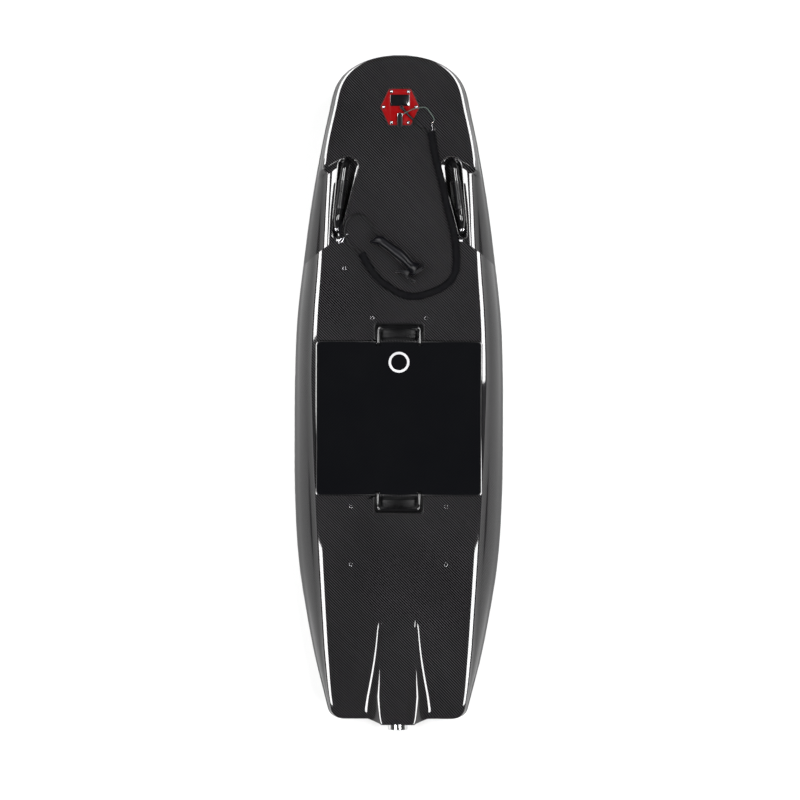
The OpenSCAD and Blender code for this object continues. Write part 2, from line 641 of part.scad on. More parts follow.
// Finger lever: a root inside the slot and a wider hooked blade outside it
trigger_root = [[138, -9], [145, -9], [142, -25], [127, -25]];
trigger_blade = [[108, -30], [114, -24.5], [122, -20], [132, -17], [139, -20], [144, -28.5],
    [153, -30], [161, -30.5], [167, -28.5], [169, -32], [165, -36.5], [155, -34.5], [143, -33],
    [132, -27], [121, -28.5], [113, -33.5], [109, -34]];
module throttle_trigger() color([0.10, 0.10, 0.11])
at_handset() difference() {
    union() {
        translate([trigger_pivot[0], trigger_pivot[1], -4]) cylinder(r = 5, h = 8);
        translate([0, 0, -4]) linear_extrude(8) polygon(trigger_root);
        translate([0, 0, -8]) linear_extrude(16) polygon(trigger_blade);
    }
    translate([trigger_pivot[0], trigger_pivot[1], -9]) cylinder(r = 2.05, h = 18);
}
module trigger_pin() color([0.7, 0.7, 0.72])
at_handset() translate([trigger_pivot[0], trigger_pivot[1], -9]) cylinder(r = 2, h = 18);

// ---- water jet drive, on one axis along the board ----
motor_front = -328;
motor_back = -480;
motor_r = 46;
bore_front = -690;
pump_back = -850;
nozzle_back = -908;
duct_angle = 28;
module at_axis(y) translate([0, y, jet_z]) rotate([90, 0, 0]) children();
module motor_housing() color([0.55, 0.56, 0.58])
difference() {
    at_axis(motor_front) cylinder(r = motor_r, h = motor_front - motor_back);
    at_axis(motor_front - 5) cylinder(r = motor_r - 5, h = motor_front - motor_back - 10);
    at_axis(motor_front + 1) cylinder(r = shaft_r + 0.05, h = 200);
    translate([motor_r - 8, -345, jet_z - 15]) cube([10, 6, 30]);
}
module motor_stator() color([0.72, 0.45, 0.2])
at_axis(-345) difference() {
    cylinder(r = motor_r - 5, h = 100);
    translate([0, 0, -1]) cylinder(r = 28, h = 102);
}
module motor_rotor() color([0.5, 0.5, 0.52])
at_axis(-340) difference() {
    cylinder(r = 27, h = 110);
    translate([0, 0, -1]) cylinder(r = shaft_r, h = 112);
}
module drive_shaft() color([0.78, 0.78, 0.80])
at_axis(-334) cylinder(r = shaft_r, h = 496);
module shaft_seal() color([0.6, 0.6, 0.62])
difference() {
    at_axis(-560) cylinder(r = 14, h = 30);
    at_axis(-559) cylinder(r = shaft_r + 0.05, h = 32);
}
module duct_path(r, extra = 0) {
    at_axis(bore_front + 5) cylinder(r = r, h = 45 + extra);
    translate([0, bore_front, jet_z])
    rotate([-90 - duct_angle, 0, 0])
    cylinder(r = r, h = 250);
}
duct_stations = [-735, -690, -650, -615, -590, -560, -530, -500, -335];
module intake_duct() color([0.12, 0.12, 0.13])
difference() {
    intersection() {
        duct_path(pump_r);
        rotate([90, 0, 90]) translate([0, 0, -60]) linear_extrude(120)
            polygon(concat([[-335, 200], [-735, 200]],
                [for (y = duct_stations) [y, bottom_z(y) + skin + 1.8]]));
    }
    duct_path(bore_r, 10);
    at_axis(-500) cylinder(r = 14.2, h = 90.2);
    at_axis(-560) cylinder(r = shaft_r + 0.5, h = 100);
}
module intake_grate() color([0.70, 0.70, 0.72])
intersection() {
    union() {
        for (x = [-20, 0, 20]) translate([x - 2, -580, skin + 1]) cube([4, 108, 5]);
        for (y = [-580, -478]) translate([-28, y, skin + 1]) cube([56, 6, 5]);
    }
    duct_path(bore_r - 0.3);
}
module pump_housing() color([0.66, 0.67, 0.69])
difference() {
    at_axis(-735.5) cylinder(r = pump_r, h = 114.5);
    at_axis(-735) cylinder(r = bore_r, h = 60);
    difference() {
        at_axis(-794) cylinder(r = bore_r, h = 60);
        at_axis(-790) cylinder(r = 14, h = 60);
        for (k = [0:4]) at_axis(-798) rotate(72 * k + 12) translate([10, -1.5, 0]) cube([30, 3, 46]);
    }
    at_axis(-780) cylinder(r = shaft_r + 0.05, h = 56);
}
module impeller() color([0.80, 0.78, 0.70])
at_axis(-744) difference() {
    union() {
        cylinder(r = 13, h = 42);
        for (k = [0:3]) rotate(90 * k)
            linear_extrude(height = 38, twist = 75, slices = 5)
            translate([6, -1.5]) square([bore_r - 7, 3]);
    }
    translate([0, 0, -1]) cylinder(r = shaft_r, h = 60);
}
module jet_nozzle() color([0.80, 0.80, 0.82])
at_axis(pump_back) difference() {
    union() {
        cylinder(r1 = pump_r, r2 = 27, h = 40);
        cylinder(r = 27, h = pump_back - nozzle_back);
    }
    translate([0, 0, -0.5]) cylinder(r1 = bore_r + 0.1, r2 = 23, h = 40.5);
    translate([0, 0, 39]) cylinder(r = 23, h = 30);
}
module motor_controller() color([0.25, 0.26, 0.28])
translate([140, -400, 30]) {
    slab(90, 140, 40, 6);
    for (k = [0:7]) translate([-38, -63 + 17 * k, 40]) cube([76, 5, 8]);
}
module phase_cables() color([0.8, 0.35, 0.05])
for (k = [-1:1])
    tube(smooth([[motor_r + 0.5, -342, jet_z + 9 * k], [64, -340, jet_z + 9 * k],
        [84, -356 + 11 * k, 56 + k], [93.8, -358 + 12 * k, 55]], 3), [2.6, 2.6], 8,
        [0, 1, 0.1]);
fin_x = 110;
module fins() color([0.06, 0.06, 0.07])
for (side = [-1, 1]) translate([side * fin_x, 0, 0])
    rotate([90, 0, 90]) translate([0, 0, -3])
    linear_extrude(6)
    polygon([[-640, bottom_z(-640) - 0.5], [-690, 0], [-790, 0],
        [-805, bottom_z(-805) - 0.5], [-770, bottom_z(-770) - 0.5],
        [-730, bottom_z(-730) - 0.5], [-690, bottom_z(-690) - 0.5]]);

// ---- the two mouldings, cut to take the parts above ----
module deck_cuts() {
    $fn = 24;
    translate([0, bay_y, ledge_z - 30]) slab(lid_w + 6, lid_l + 6, 60, 13);
    translate([0, bay_y, ledge_z - 30]) slab(lid_w + 6, lid_l + 18, 30.1, 13);
    for (end = [-1, 1])
        translate([0, bay_y + end * (lid_l / 2 + tray_l / 2 - 2.4), ledge_z - 40])
        slab(tray_w + 2 * tray_wall + 0.8, tray_l + 2 * tray_wall + 8, 80, 10);
    for (side = [-1, 1]) at_handle(side)
        translate([0, 0, -30]) linear_extrude(50) teardrop(pocket_wall + 0.4);
    at_plate() translate([0, 0, -30]) slab(61.8, 61.8, 60, 4);
    at_plate() plate_holes(2.7);
    for (p = insert_spots) translate([p[0], p[1], 100]) cylinder(r = 4.8, h = 80);
    at_axis(-840) cylinder(r = 34.5, h = 100);
}
module deck_shell() color([0.07, 0.07, 0.08])
one_mesh() difference() {
    moulding(hull_stations, 2);
    deck_cuts();
}
module hull_shell() color([0.07, 0.07, 0.08])
one_mesh() difference() {
    moulding(hull_stations, 3);
    at_axis(-840) cylinder(r = 34.5, h = 100, $fn = 32);
    duct_path(bore_r, $fn = 32);
}
foam_stations = [230, 300, 407, 411, 540, 640, 700, 780, 840, 876];
module nose_foam() color([0.85, 0.83, 0.75])
one_mesh() difference() {
    $fn = 24;
    core(foam_stations, 9);
    for (side = [-1, 1]) at_handle(side)
        translate([0, 0, -36]) linear_extrude(80) teardrop(pocket_wall + 4);
    at_plate() translate([0, 0, -30]) slab(70, 70, 60, 4);
    at_plate() plate_holes(6);
    for (p = insert_spots) translate([p[0], p[1], 100]) cylinder(r = 8, h = 80);
    translate([-100, 200, 90]) cube([200, 20, 80]);
}

// ---- cords on the deck: routes set point by point, [x, y, height above the deck] ----
sheet_z = 0.4;                     // how far a resting cord stays clear of the deck
function on_deck(p, r) = [p[0], p[1], deck_z(p[1]) + r + sheet_z + (len(p) > 2 ? p[2] : 0)];
cable_r = 3;
tether_r = 1.5;
sleeve_size = [10, 6];
tether_route = [[9.5, 749.5, 13], [17, 753.5, 15], [26, 758, 15], [35, 762.5, 12],
    [50, 766, 8], [64, 768, 4], [74, 764, 1], [82, 753, 0], [90, 741, 0], [92.5, 733, 0]];
front_route = [[12, 759.1, 7.2], [18, 752.5, 7.3], [25, 745, 7.3], [35, 735, 6.8], [48, 723, 3],
    [62, 712, 1], [74, 706, 2.5], [84, 698, 2.5]];
sleeve_route = [[83, 702], [88, 680], [92, 657], [101, 615], [119, 547], [131, 490], [146, 434],
    [152, 385], [153, 348], [149, 323], [134, 300], [108, 281], [75, 268], [40, 261],
    [5, 268], [-27, 286], [-54, 306], [-78, 335], [-95, 364], [-102, 377]];
rear_route = [[-101, 374, 3], [-108, 382, 3], [-119, 389, 1], [-133, 400, 3.5],
    [-144, 417, 4], [-147.5, 438, 3], [-142, 460, 0.5], [-129, 476], [-110, 482], [-92, 474, 1],
    [-77, 459, 6], [-65, 440, 12], [-53, 420, 14]];
module tether() color([0.45, 0.45, 0.45])
tube(smooth([for (p = tether_route) on_deck(p, tether_r)], 2), [tether_r, tether_r], 8);
module control_cable() color([0.03, 0.03, 0.03])
for (route = [front_route, rear_route])
    tube([for (p = route) on_deck(p, cable_r)], [cable_r, cable_r], 8);
module cable_sleeve() color([0.05, 0.05, 0.06])
tube([for (p = sleeve_route) on_deck(p, sleeve_size[1])], sleeve_size, 8);

// Bent wire hook and its knob, between the tether and the sleeve's top
module tether_clip() color([0.72, 0.72, 0.74]) {
    wire = [[91.4, 730.6], [87, 726], [87.6, 706.5]];
    tube([for (p = wire) on_deck(p, 1.3)], [1.3, 1.3], 8);
    translate([93, 708.5, deck_z(708.5) + sheet_z]) cylinder(r = 3, h = 5);
    translate([87, 708.5, deck_z(708.5) + 2.2]) rotate([0, 90, 0]) cylinder(r = 0.9, h = 6);
}
// Snap hook: an oval ring, and a gate wire that runs under the cable to a knob
hook_z = deck_z(418) + 0.5;
module snap_hook() color([0.78, 0.78, 0.80]) {
    translate([-156.5, 411, hook_z]) rotate(48) difference() {
        slab(22, 10, 4, 4.5);
        translate([0, 0, -1]) slab(14, 4.4, 6, 2);
    }
    translate([-151, 416.9, hook_z + 1.6]) rotate([0, 90, 46.5]) cylinder(r = 1.1, h = 16.5);
    translate([-139.6, 429, hook_z]) cylinder(r = 2.9, h = 5);
}
// Webbing from the foot of the left handle to the hook
module hook_strap() color([0.04, 0.04, 0.05])
at_handle(-1) translate([0, 0, 3.2])
linear_extrude(1.5)
polygon([[154.6, 464], [155.2, 453], [155.6, 445], [155.8, 430], [155.8, 421.5], [162.3, 421.5],
    [162.8, 430], [162.4, 445], [156.8, 453], [156.6, 464]]);

deck_shell();
hull_shell();
nose_foam();
battery_bay();
bay_pads();
front_recess_tray();
rear_recess_tray();
strap_inserts();
left_handle_pocket();
right_handle_pocket();
left_handle_bar();
right_handle_bar();
handle_grips();
control_gasket();
control_plate();
control_pod();
control_board();
display_window();
deck_screws();
key_seat();
magnetic_key();
cable_gland();
handset_left_shell();
handset_right_shell();
handset_flange();
handset_screws();
handset_sensor();
throttle_trigger();
trigger_pin();
battery_case();
battery_lid();
lid_gasket();
deck_pad();
pad_ring();
cell_block();
battery_board();
power_plug();
bail_pins();
front_bail();
rear_bail();
power_socket();
motor_housing();
motor_rotor();
motor_stator();
drive_shaft();
shaft_seal();
motor_controller();
phase_cables();
intake_duct();
intake_grate();
pump_housing();
impeller();
jet_nozzle();
fins();
tether();
tether_clip();
control_cable();
cable_sleeve();
snap_hook();
hook_strap();
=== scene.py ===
"""Looks of the electric jet surfboard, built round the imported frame.

Everything is in metres, +Y to the nose, +X to the rider's right, +Z up. Shapes are worked out in
millimetres, as in the CAD source, and scaled at the end by MM.
"""

import json
import math

import bmesh
import bpy
import numpy as np
from mathutils import Matrix, Vector, noise


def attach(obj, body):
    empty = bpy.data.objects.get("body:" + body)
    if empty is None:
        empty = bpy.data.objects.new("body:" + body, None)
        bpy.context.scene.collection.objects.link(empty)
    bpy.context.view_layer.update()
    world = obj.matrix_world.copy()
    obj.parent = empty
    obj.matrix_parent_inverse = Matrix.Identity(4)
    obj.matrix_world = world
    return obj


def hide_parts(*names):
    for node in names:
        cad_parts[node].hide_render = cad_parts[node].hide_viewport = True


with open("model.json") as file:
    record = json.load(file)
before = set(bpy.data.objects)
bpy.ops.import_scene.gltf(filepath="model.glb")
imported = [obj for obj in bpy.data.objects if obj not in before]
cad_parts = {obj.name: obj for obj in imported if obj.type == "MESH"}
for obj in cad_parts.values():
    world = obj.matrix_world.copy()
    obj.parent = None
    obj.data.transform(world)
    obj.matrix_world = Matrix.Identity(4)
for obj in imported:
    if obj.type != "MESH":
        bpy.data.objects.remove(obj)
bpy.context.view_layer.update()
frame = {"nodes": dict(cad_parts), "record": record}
scene = bpy.context.scene
MM = 0.001

# ---------------------------------------------------------------- camera
VIEW_WIDTH = 2.152  # metres across the picture at deck height
LENS = 200
DECK_H = 150.0
cam_data = bpy.data.cameras.new("camera")
cam_data.lens = LENS
cam_data.sensor_width = 36
cam_data.clip_end = 200
camera = bpy.data.objects.new("camera", cam_data)
scene.collection.objects.link(camera)
camera.location = (0.003, -0.0175, DECK_H * MM + VIEW_WIDTH * LENS / 36)
camera.rotation_euler = (0, 0, math.radians(0.2))
scene.camera = camera

# ---------------------------------------------------------------- hull functions, as in the CAD
RAIL = [(-900, 178), (-850, 190), (-720, 223), (-600, 247), (-450, 270), (-280, 280.5),
        (-100, 282.5), (60, 281.5), (200, 276), (360, 258.5), (520, 237), (680, 208),
        (780, 186), (908, 160)]
DECK = [(-900, 162), (-850, 176), (-720, 190), (-600, 198), (-450, 207), (-300, 215),
        (-100, 224), (60, 228), (200, 224), (386, 211), (540, 203), (655, 195), (790, 168),
        (908, 146)]
HUMP = [(-892, 61), (-750, 50), (-640, 46)]
FOOT = [(-880, 103), (-683, 66), (-600, 56)]
CROWN = 1.5
SKIN = 4.0


def clamp01(t):
    return min(1.0, max(0.0, t))


def ease(t):
    t = clamp01(t)
    return t * t * (3 - 2 * t)


def curve(k, v):
    i = 0
    while i < len(k) - 2 and v >= k[i + 1][0]:
        i += 1
    chord = [(b[1] - a[1]) / (b[0] - a[0]) for a, b in zip(k, k[1:])]

    def lean(j):
        if j == 0:
            return chord[0]
        if j == len(k) - 1:
            return chord[-1]
        return (chord[j - 1] + chord[j]) / 2

    h = k[i + 1][0] - k[i][0]
    t = clamp01((v - k[i][0]) / h)
    return ((2 * t**3 - 3 * t**2 + 1) * k[i][1] + (t**3 - 2 * t**2 + t) * h * lean(i)
            + (3 * t**2 - 2 * t**3) * k[i + 1][1] + (t**3 - t**2) * h * lean(i + 1))


def nose_round(y):
    return 0.0 if y < 892 else 1 - math.sqrt(max(0.0, 1 - ((y - 892) / 16) ** 2))


def nose_cap(y):
    return 1.0 if y < 780 else math.sqrt(max(0.0, 1 - ((y - 780) / 128) ** 3))


def corner_cut(y):
    d = -877 + 25 - y
    return 0.0 if d < 0 else 25 * (1 - math.sqrt(max(0.0, 1 - (d / 25) ** 2)))


def rail_half(y):
    return max(20.0, curve(RAIL, y) * nose_cap(y) - corner_cut(y))


def deck_half(y):
    return rail_half(y) * curve(DECK, y) / curve(RAIL, y)


def deck_z(y):
    z = DECK_H - 14 * nose_round(y)
    if y > 250:
        z += 46 * ((y - 250) / 658) ** 2
    if y < -600:
        z -= 28 * ((-600 - y) / 277) ** 2
    return z


def bottom_z(y):
    z = 8 * nose_round(y)
    if y > 300:
        z += 160 * ((y - 300) / 608) ** 2
    if y < -500:
        z += 50 * ((-500 - y) / 377) ** 2
    return z


def hump_z(y):
    if y > -596:
        return deck_z(y)
    return DECK_H + 5 * ease((-596 - y) / 46) - 4 * ((-600 - min(y, -600)) / 277) ** 2


def scoop_in(s):
    return 181 + (132 - 181) * clamp01((s - 408) / 246)


def skew(s):
    return 62 * ease((760 - s) / 106) * ease((s - 250) / 158)


def scoop(s):
    return ease((654 - s) / 24) if s > 408 else 0.0


def section(s, inset=0.0):
    """Half a cross-section at station s, centre to rail: rows of x, y, top z, bottom z."""
    yr = s - skew(s)
    inner = scoop_in(s)
    ye = s - skew(s) * clamp01((deck_half(s) - inner) / (rail_half(s) - inner))
    h = rail_half(yr)
    a = min(12.0, 0.3 * h)
    side_x = h - a * (1 - math.cos(math.radians(50)))
    e = min(deck_half(ye) - 13 * scoop(s), side_x - 4)
    ze = deck_z(ye) - CROWN - 9 * scoop(s)
    zb, top = bottom_z(yr), deck_z(yr)
    zr = zb + 0.42 * (top - zb)
    b = min(18.0, 0.4 * (ze - zb))
    side = np.array([side_x, zr + b * math.sin(math.radians(50))])
    band = min(7.0, 0.12 * (h - e) + 2.5, 0.4 * (side_x - e) + 1)
    lip = [np.array([e - band, ze + 1.0])]
    for g in range(6, 18, 2):
        lip.append(lip[-1] + 2 * band / 6 * np.array([1, -math.tan(math.radians(g))]))
    reach = np.linalg.norm(side - lip[-1])
    facet = lip[-1] + (side - lip[-1]) * min(0.5, 5 / reach)
    p = min(curve(HUMP, s), 0.3 * e)
    f = min(curve(FOOT, s), 0.55 * e)
    xi = min(scoop_in(s), 0.85 * e)
    zh, zd = hump_z(s), deck_z(s)
    rise = zh - zd
    p0 = p - min(7.0, p / 3)
    pts = [(p0 * t, zh - 0.2 * t * t) for t in (0, 0.35, 0.7, 1)]
    pts += [(p0 + (p - p0) * t, zh - 0.2 - (0.1 + 0.06 * rise) * t * t) for t in (0.5, 1)]
    for t in (0.06, 0.14, 0.28, 0.42, 0.56, 0.7, 0.85, 1):
        pts.append((p + t * (f - p), zd - 0.4 + (0.94 * rise + 0.1) * (1 - t) ** 2.3))
    pts += [(f + (xi - f) * t, zd - 0.4 - 0.6 * t) for t in (0.25, 0.5, 0.75, 1)]
    pts += [(xi + (lip[0][0] - xi) * t, zd - 1 + (lip[0][1] - zd + 1) * t)
            for t in (0.15, 0.4, 0.65, 0.85)]
    pts += [tuple(q) for q in lip]
    turn = lip[-1] + (lip[-1] - lip[-2]) * 0.6
    for t in (0.25, 0.5, 0.75, 1):
        pts.append(tuple((1 - t) ** 2 * lip[-1] + 2 * t * (1 - t) * turn + t * t * facet))
    bulge = np.array([0.83, 0.55]) * min(5.0, 0.07 * reach)
    for t in (0.2, 0.4, 0.6, 0.8, 1):
        pts.append(tuple(facet + (side - facet) * t + bulge * 4 * t * (1 - t)))
    angles = (40, 30, 20, 10, 0)
    pts += [(h - a * (1 - math.cos(math.radians(g))), zr + b * math.sin(math.radians(g)))
            for g in angles]
    bilge = min(50.0, 0.5 * h)
    low = zr - b * math.sin(math.radians(50))
    n = len(pts)
    rows = []
    for j, (x, z) in enumerate(pts):
        k = j - (n - len(angles))
        if k >= 0:
            z2 = zr - b * math.sin(math.radians(angles[k]))
        else:
            z2 = zb + (low - zb) * clamp01((x - h + bilge) / (bilge - h + side_x)) ** 1.7
        y = s - skew(s) * clamp01((x - xi) / (h - xi))
        y -= 15 * ease((-850 - s) / 27) * clamp01((f - x) / (f - p))
        end = 0.0 if j == n - 1 else inset
        rows.append((x * (h - 1.5 * inset) / h, y, z - end, z2 + end))
    return rows


def stations():
    spans = [(-877, -868, 5), (-866, -850, 6), (-846, -700, 15), (-690, -656, 5), (-650, -590, 14),
             (-575, 225, 26), (235, 395, 12), (400, 407.4, 3), (408.8, 412, 3), (422, 616, 15),
             (624, 656, 9), (664, 780, 10), (788, 884, 15), (889, 901, 7), (902.5, 908, 6)]
    return [float(v) for a, b, n in spans for v in np.linspace(a, b, n)]


# ---------------------------------------------------------------- mesh helpers
def new_object(name, verts, faces, uvs=None, scale=MM):
    mesh = bpy.data.meshes.new(name)
    mesh.from_pydata([tuple(c * scale for c in v) for v in verts], [], faces)
    if uvs is not None:
        layer = mesh.uv_layers.new(name="cloth")
        flat = [c for loop in mesh.loops for c in uvs[loop.vertex_index]]
        layer.data.foreach_set("uv", flat)
    mesh.validate()
    ob = bpy.data.objects.new(name, mesh)
    scene.collection.objects.link(ob)
    return ob


def smooth_shade(ob, angle=35):
    ob.data.shade_smooth()
    ob.data.set_sharp_from_angle(angle=math.radians(angle))


def outward(ob):
    bm = bmesh.new()
    bm.from_mesh(ob.data)
    bmesh.ops.recalc_face_normals(bm, faces=bm.faces)
    bm.to_mesh(ob.data)
    bm.free()


def baked(ob):
    """Applies the object's modifiers to its mesh."""
    bpy.context.view_layer.update()
    done = bpy.data.meshes.new_from_object(
        ob.evaluated_get(bpy.context.evaluated_depsgraph_get()))
    ob.modifiers.clear()
    ob.data = done
    return ob


def cut(ob, cutter):
    m = ob.modifiers.new("cut", "BOOLEAN")
    m.operation = "DIFFERENCE"
    m.object = cutter
    m.solver = "MANIFOLD"
    baked(ob)
    bpy.data.objects.remove(cutter)


def prism(bm, outline, low, high, place=Matrix.Identity(4)):
    """Adds a straight prism on a closed outline of (x, y)."""
    rings = [[bm.verts.new(place @ Vector((x, y, z))) for x, y in outline] for z in (low, high)]
    n = len(outline)
    bm.faces.new(rings[0][::-1])
    bm.faces.new(rings[1])
    for i in range(n):
        j = (i + 1) % n
        bm.faces.new((rings[0][i], rings[0][j], rings[1][j], rings[1][i]))


def bm_object(name, bm, scale=MM):
    bmesh.ops.scale(bm, vec=(scale,) * 3, verts=bm.verts)
    bmesh.ops.recalc_face_normals(bm, faces=bm.faces)
    mesh = bpy.data.meshes.new(name)
    bm.to_mesh(mesh)
    bm.free()
    ob = bpy.data.objects.new(name, mesh)
    scene.collection.objects.link(ob)
    return ob


def round_rect(w, l, r, cx=0.0, cy=0.0, steps=6):
    out = []
    for k, (sx, sy) in enumerate([(1, 1), (-1, 1), (-1, -1), (1, -1)]):
        for i in range(steps + 1):
            g = math.radians(90 * k + 90 * i / steps)
            out.append((cx + sx * (w / 2 - r) + r * math.cos(g),
                        cy + sy * (l / 2 - r) + r * math.sin(g)))
    return out


def circle(r, cx=0.0, cy=0.0, n=24):
    return [(cx + r * math.cos(2 * math.pi * i / n), cy + r * math.sin(2 * math.pi * i / n))
            for i in range(n)]


HEAD, TOE, HEAD_R, TOE_R = (139.0, 609.0), (170.5, 429.5), 26.0, 11.0


def teardrop(g, steps=16):
    ax, ay = TOE[0] - HEAD[0], TOE[1] - HEAD[1]
    base = math.atan2(ay, ax)
    a = math.acos((HEAD_R - TOE_R) / math.hypot(ax, ay))
    out = []
    for i in range(steps + 1):
        t = base + a + i / steps * (2 * math.pi - 2 * a)
        out.append((HEAD[0] + (HEAD_R + g) * math.cos(t), HEAD[1] + (HEAD_R + g) * math.sin(t)))
    for i in range(steps // 2 + 1):
        t = base - a + i / (steps // 2) * 2 * a
        out.append((TOE[0] + (TOE_R + g) * math.cos(t), TOE[1] + (TOE_R + g) * math.sin(t)))
    return out


def slope_at(y):
    return math.atan(2 * 46 * (y - 250) / 658**2)


def on_slope(y, side=1):
    """The CAD's frame on the deck's slope at station y, mirrored for side -1."""
    place = Matrix.Translation((0, y, deck_z(y))) @ Matrix.Rotation(slope_at(y), 4, "X")
    return place @ (Matrix.Diagonal((side, 1, 1, 1)))


def handle_frame(side):
    return on_slope(530, side) @ Matrix.Translation((0, -530, 0))


PLATE = on_slope(769)
PLATE_SCREWS = [(44.2, 0), (22.8, 41.6), (-22.8, 41.6), (-44.2, 0), (-22.8, -41.6), (22.8, -41.6)]
BAY_Y, LID_W, LID_L = -67.0, 444.0, 414.0
INSERTS = [(sx * x, y) for sx in (1, -1) for x, y in
           ((148, 336), (72.5, 202.5), (128, -304), (128, -460))]


def loft(name, rings, closed_ends=True, uvs=None):
    """Closed surface through rings of the same number of points."""
    n = len(rings[0])
    verts = [tuple(p) for r in rings for p in r]
    faces = [(i * n + k, i * n + (k + 1) % n, (i + 1) * n + (k + 1) % n, (i + 1) * n + k)
             for i in range(len(rings) - 1) for k in range(n)]
    if closed_ends:
        faces += [tuple(range(n))[::-1], tuple((len(rings) - 1) * n + k for k in range(n))]
    ob = new_object(name, verts, faces, uvs)
    outward(ob)
    return ob


# ---------------------------------------------------------------- hull mouldings
def moulding(name, column):
    """The deck (column 2) or the bottom (column 3), a laminate closed at the nose and transom."""
    rings, cloth = [], []
    for s in stations():
        outer, inner = section(s), section(s, SKIN)
        seam = outer[-1][2]
        n = len(outer)
        line, arc = [], [0.0]
        for a, b in zip(outer, outer[1:]):
            arc.append(arc[-1] + math.hypot(b[0] - a[0], b[column] - a[column]))
        solid = s < -868 or s > 893
        for j in range(-(n - 1), n):
            q = outer[abs(j)]
            line.append((math.copysign(q[0], j), q[1], q[column]))
            cloth.append((math.copysign(arc[abs(j)], j) * MM, q[1] * MM))
        for j in range(n - 1, -n, -1):
            q = inner[abs(j)]
            z = q[column]
            x = math.copysign(q[0], j)
            if solid:
                x, z = 0.8 * x, seam + 2 * (1 - (j / (n - 1)) ** 2)
            line.append((x, q[1], z))
            cloth.append((math.copysign(arc[abs(j)], j) * MM, q[1] * MM))
        rings.append(line)
    n = len(rings[0])
    half = n // 2
    verts = [p for r in rings for p in r]
    faces = [(i * n + k, i * n + (k + 1) % n, (i + 1) * n + (k + 1) % n, (i + 1) * n + k)
             for i in range(len(rings) - 1) for k in range(n)]
    for base in (0, (len(rings) - 1) * n):
        for k in range(half - 1):
            faces.append((base + k, base + k + 1, base + n - 2 - k, base + n - 1 - k))
    ob = new_object(name, verts, faces, cloth)
    outward(ob)
    return ob


def deck_cutter():
    bm = bmesh.new()
    prism(bm, round_rect(LID_W + 6, LID_L + 6, 13, 0, BAY_Y), 116, 176)
    for end in (1, -1):
        prism(bm, round_rect(137.8, 59.8, 10, 0, BAY_Y + end * (LID_L / 2 + 20.5)), 106, 186)
    for side in (1, -1):
        outline = teardrop(3.4)
        prism(bm, outline, -30, 20, handle_frame(side))
    prism(bm, round_rect(61.8, 61.8, 4), -30, 30, PLATE)
    for p in PLATE_SCREWS:
        prism(bm, circle(2.7, *p), -30, 30, PLATE)
    for x, y in INSERTS:
        prism(bm, circle(4.8, x, y), 100, 180)
    back = Matrix.Translation((0, -840, 92)) @ Matrix.Rotation(math.radians(90), 4, "X")
    prism(bm, circle(34.5, n=48), 0, 100, back)
    return bm_object("cutter", bm)


def hull_cutter():
    bm = bmesh.new()
    back = Matrix.Translation((0, -840, 92)) @ Matrix.Rotation(math.radians(90), 4, "X")
    prism(bm, circle(34.5, n=48), 0, 100, back)
    duct = Matrix.Translation((0, -690, 92)) @ Matrix.Rotation(math.radians(-118), 4, "X")
    prism(bm, circle(34, n=48), 0, 250, duct)
    return bm_object("cutter", bm)


# ---------------------------------------------------------------- materials
class Nodes:
    """A small helper that builds one material's node tree."""

    def __init__(self, name):
        self.mat = bpy.data.materials.new(name)
        self.mat.use_nodes = True
        self.tree = self.mat.node_tree
        self.bsdf = next(n for n in self.tree.nodes if n.type == "BSDF_PRINCIPLED")

    def new(self, kind, **props):
        node = self.tree.nodes.new(kind)
        for key, value in props.items():
            setattr(node, key, value)
        return node

    def link(self, a, b):
        self.tree.links.new(a, b)

    def put(self, socket, value):
        if hasattr(value, "links") or isinstance(value, bpy.types.NodeSocket):
            self.link(value, socket)
        else:
            socket.default_value = value

    def math(self, operation, a, b=0.0, c=0.0):
        node = self.new("ShaderNodeMath", operation=operation)
        for socket, value in zip(node.inputs, (a, b, c)):
            self.put(socket, value)
        return node.outputs[0]

    def place(self, scale=(1, 1, 1), rotation=(0, 0, 0), uv=False):
        if uv:
            source = self.new("ShaderNodeUVMap", uv_map="cloth").outputs[0]
        else:
            source = self.new("ShaderNodeTexCoord").outputs["Object"]
        mapping = self.new("ShaderNodeMapping")
        mapping.inputs["Scale"].default_value = scale
        mapping.inputs["Rotation"].default_value = rotation
        self.link(source, mapping.inputs["Vector"])
        return mapping.outputs[0]

    def noise(self, vector, scale, detail=4.0, rough=0.55):
        node = self.new("ShaderNodeTexNoise")
        self.link(vector, node.inputs["Vector"])
        node.inputs["Scale"].default_value = scale
        node.inputs["Detail"].default_value = detail
        node.inputs["Roughness"].default_value = rough
        return node.outputs["Fac"]

    def mix(self, factor, a, b):
        node = self.new("ShaderNodeMix", data_type="RGBA")
        self.put(node.inputs[0], factor)
        self.put(node.inputs[6], a)
        self.put(node.inputs[7], b)
        return node.outputs[2]

    def remap(self, value, low, high, to_low, to_high):
        node = self.new("ShaderNodeMapRange")
        for k, v in enumerate((value, low, high, to_low, to_high)):
            self.put(node.inputs[k], v)
        return node.outputs[0]

    def bump(self, height, strength, distance, coat=False):
        node = self.new("ShaderNodeBump")
        node.inputs["Strength"].default_value = strength
        node.inputs["Distance"].default_value = distance
        self.link(height, node.inputs["Height"])
        self.link(node.outputs[0], self.bsdf.inputs["Coat Normal" if coat else "Normal"])
        return node

    def set(self, **values):
        names = {"color": "Base Color", "rough": "Roughness", "metal": "Metallic",
                 "spec": "Specular IOR Level", "coat": "Coat Weight",
                 "coat_rough": "Coat Roughness", "ior": "IOR", "sheen": "Sheen Weight",
                 "sheen_rough": "Sheen Roughness", "alpha": "Alpha",
                 "transmission": "Transmission Weight", "emission": "Emission Color",
                 "glow": "Emission Strength"}
        for key, value in values.items():
            self.put(self.bsdf.inputs[names[key]], value)


# Scales every colour and gloss coat: strong lights then keep dark facets and white highlights.
TONE = 0.65


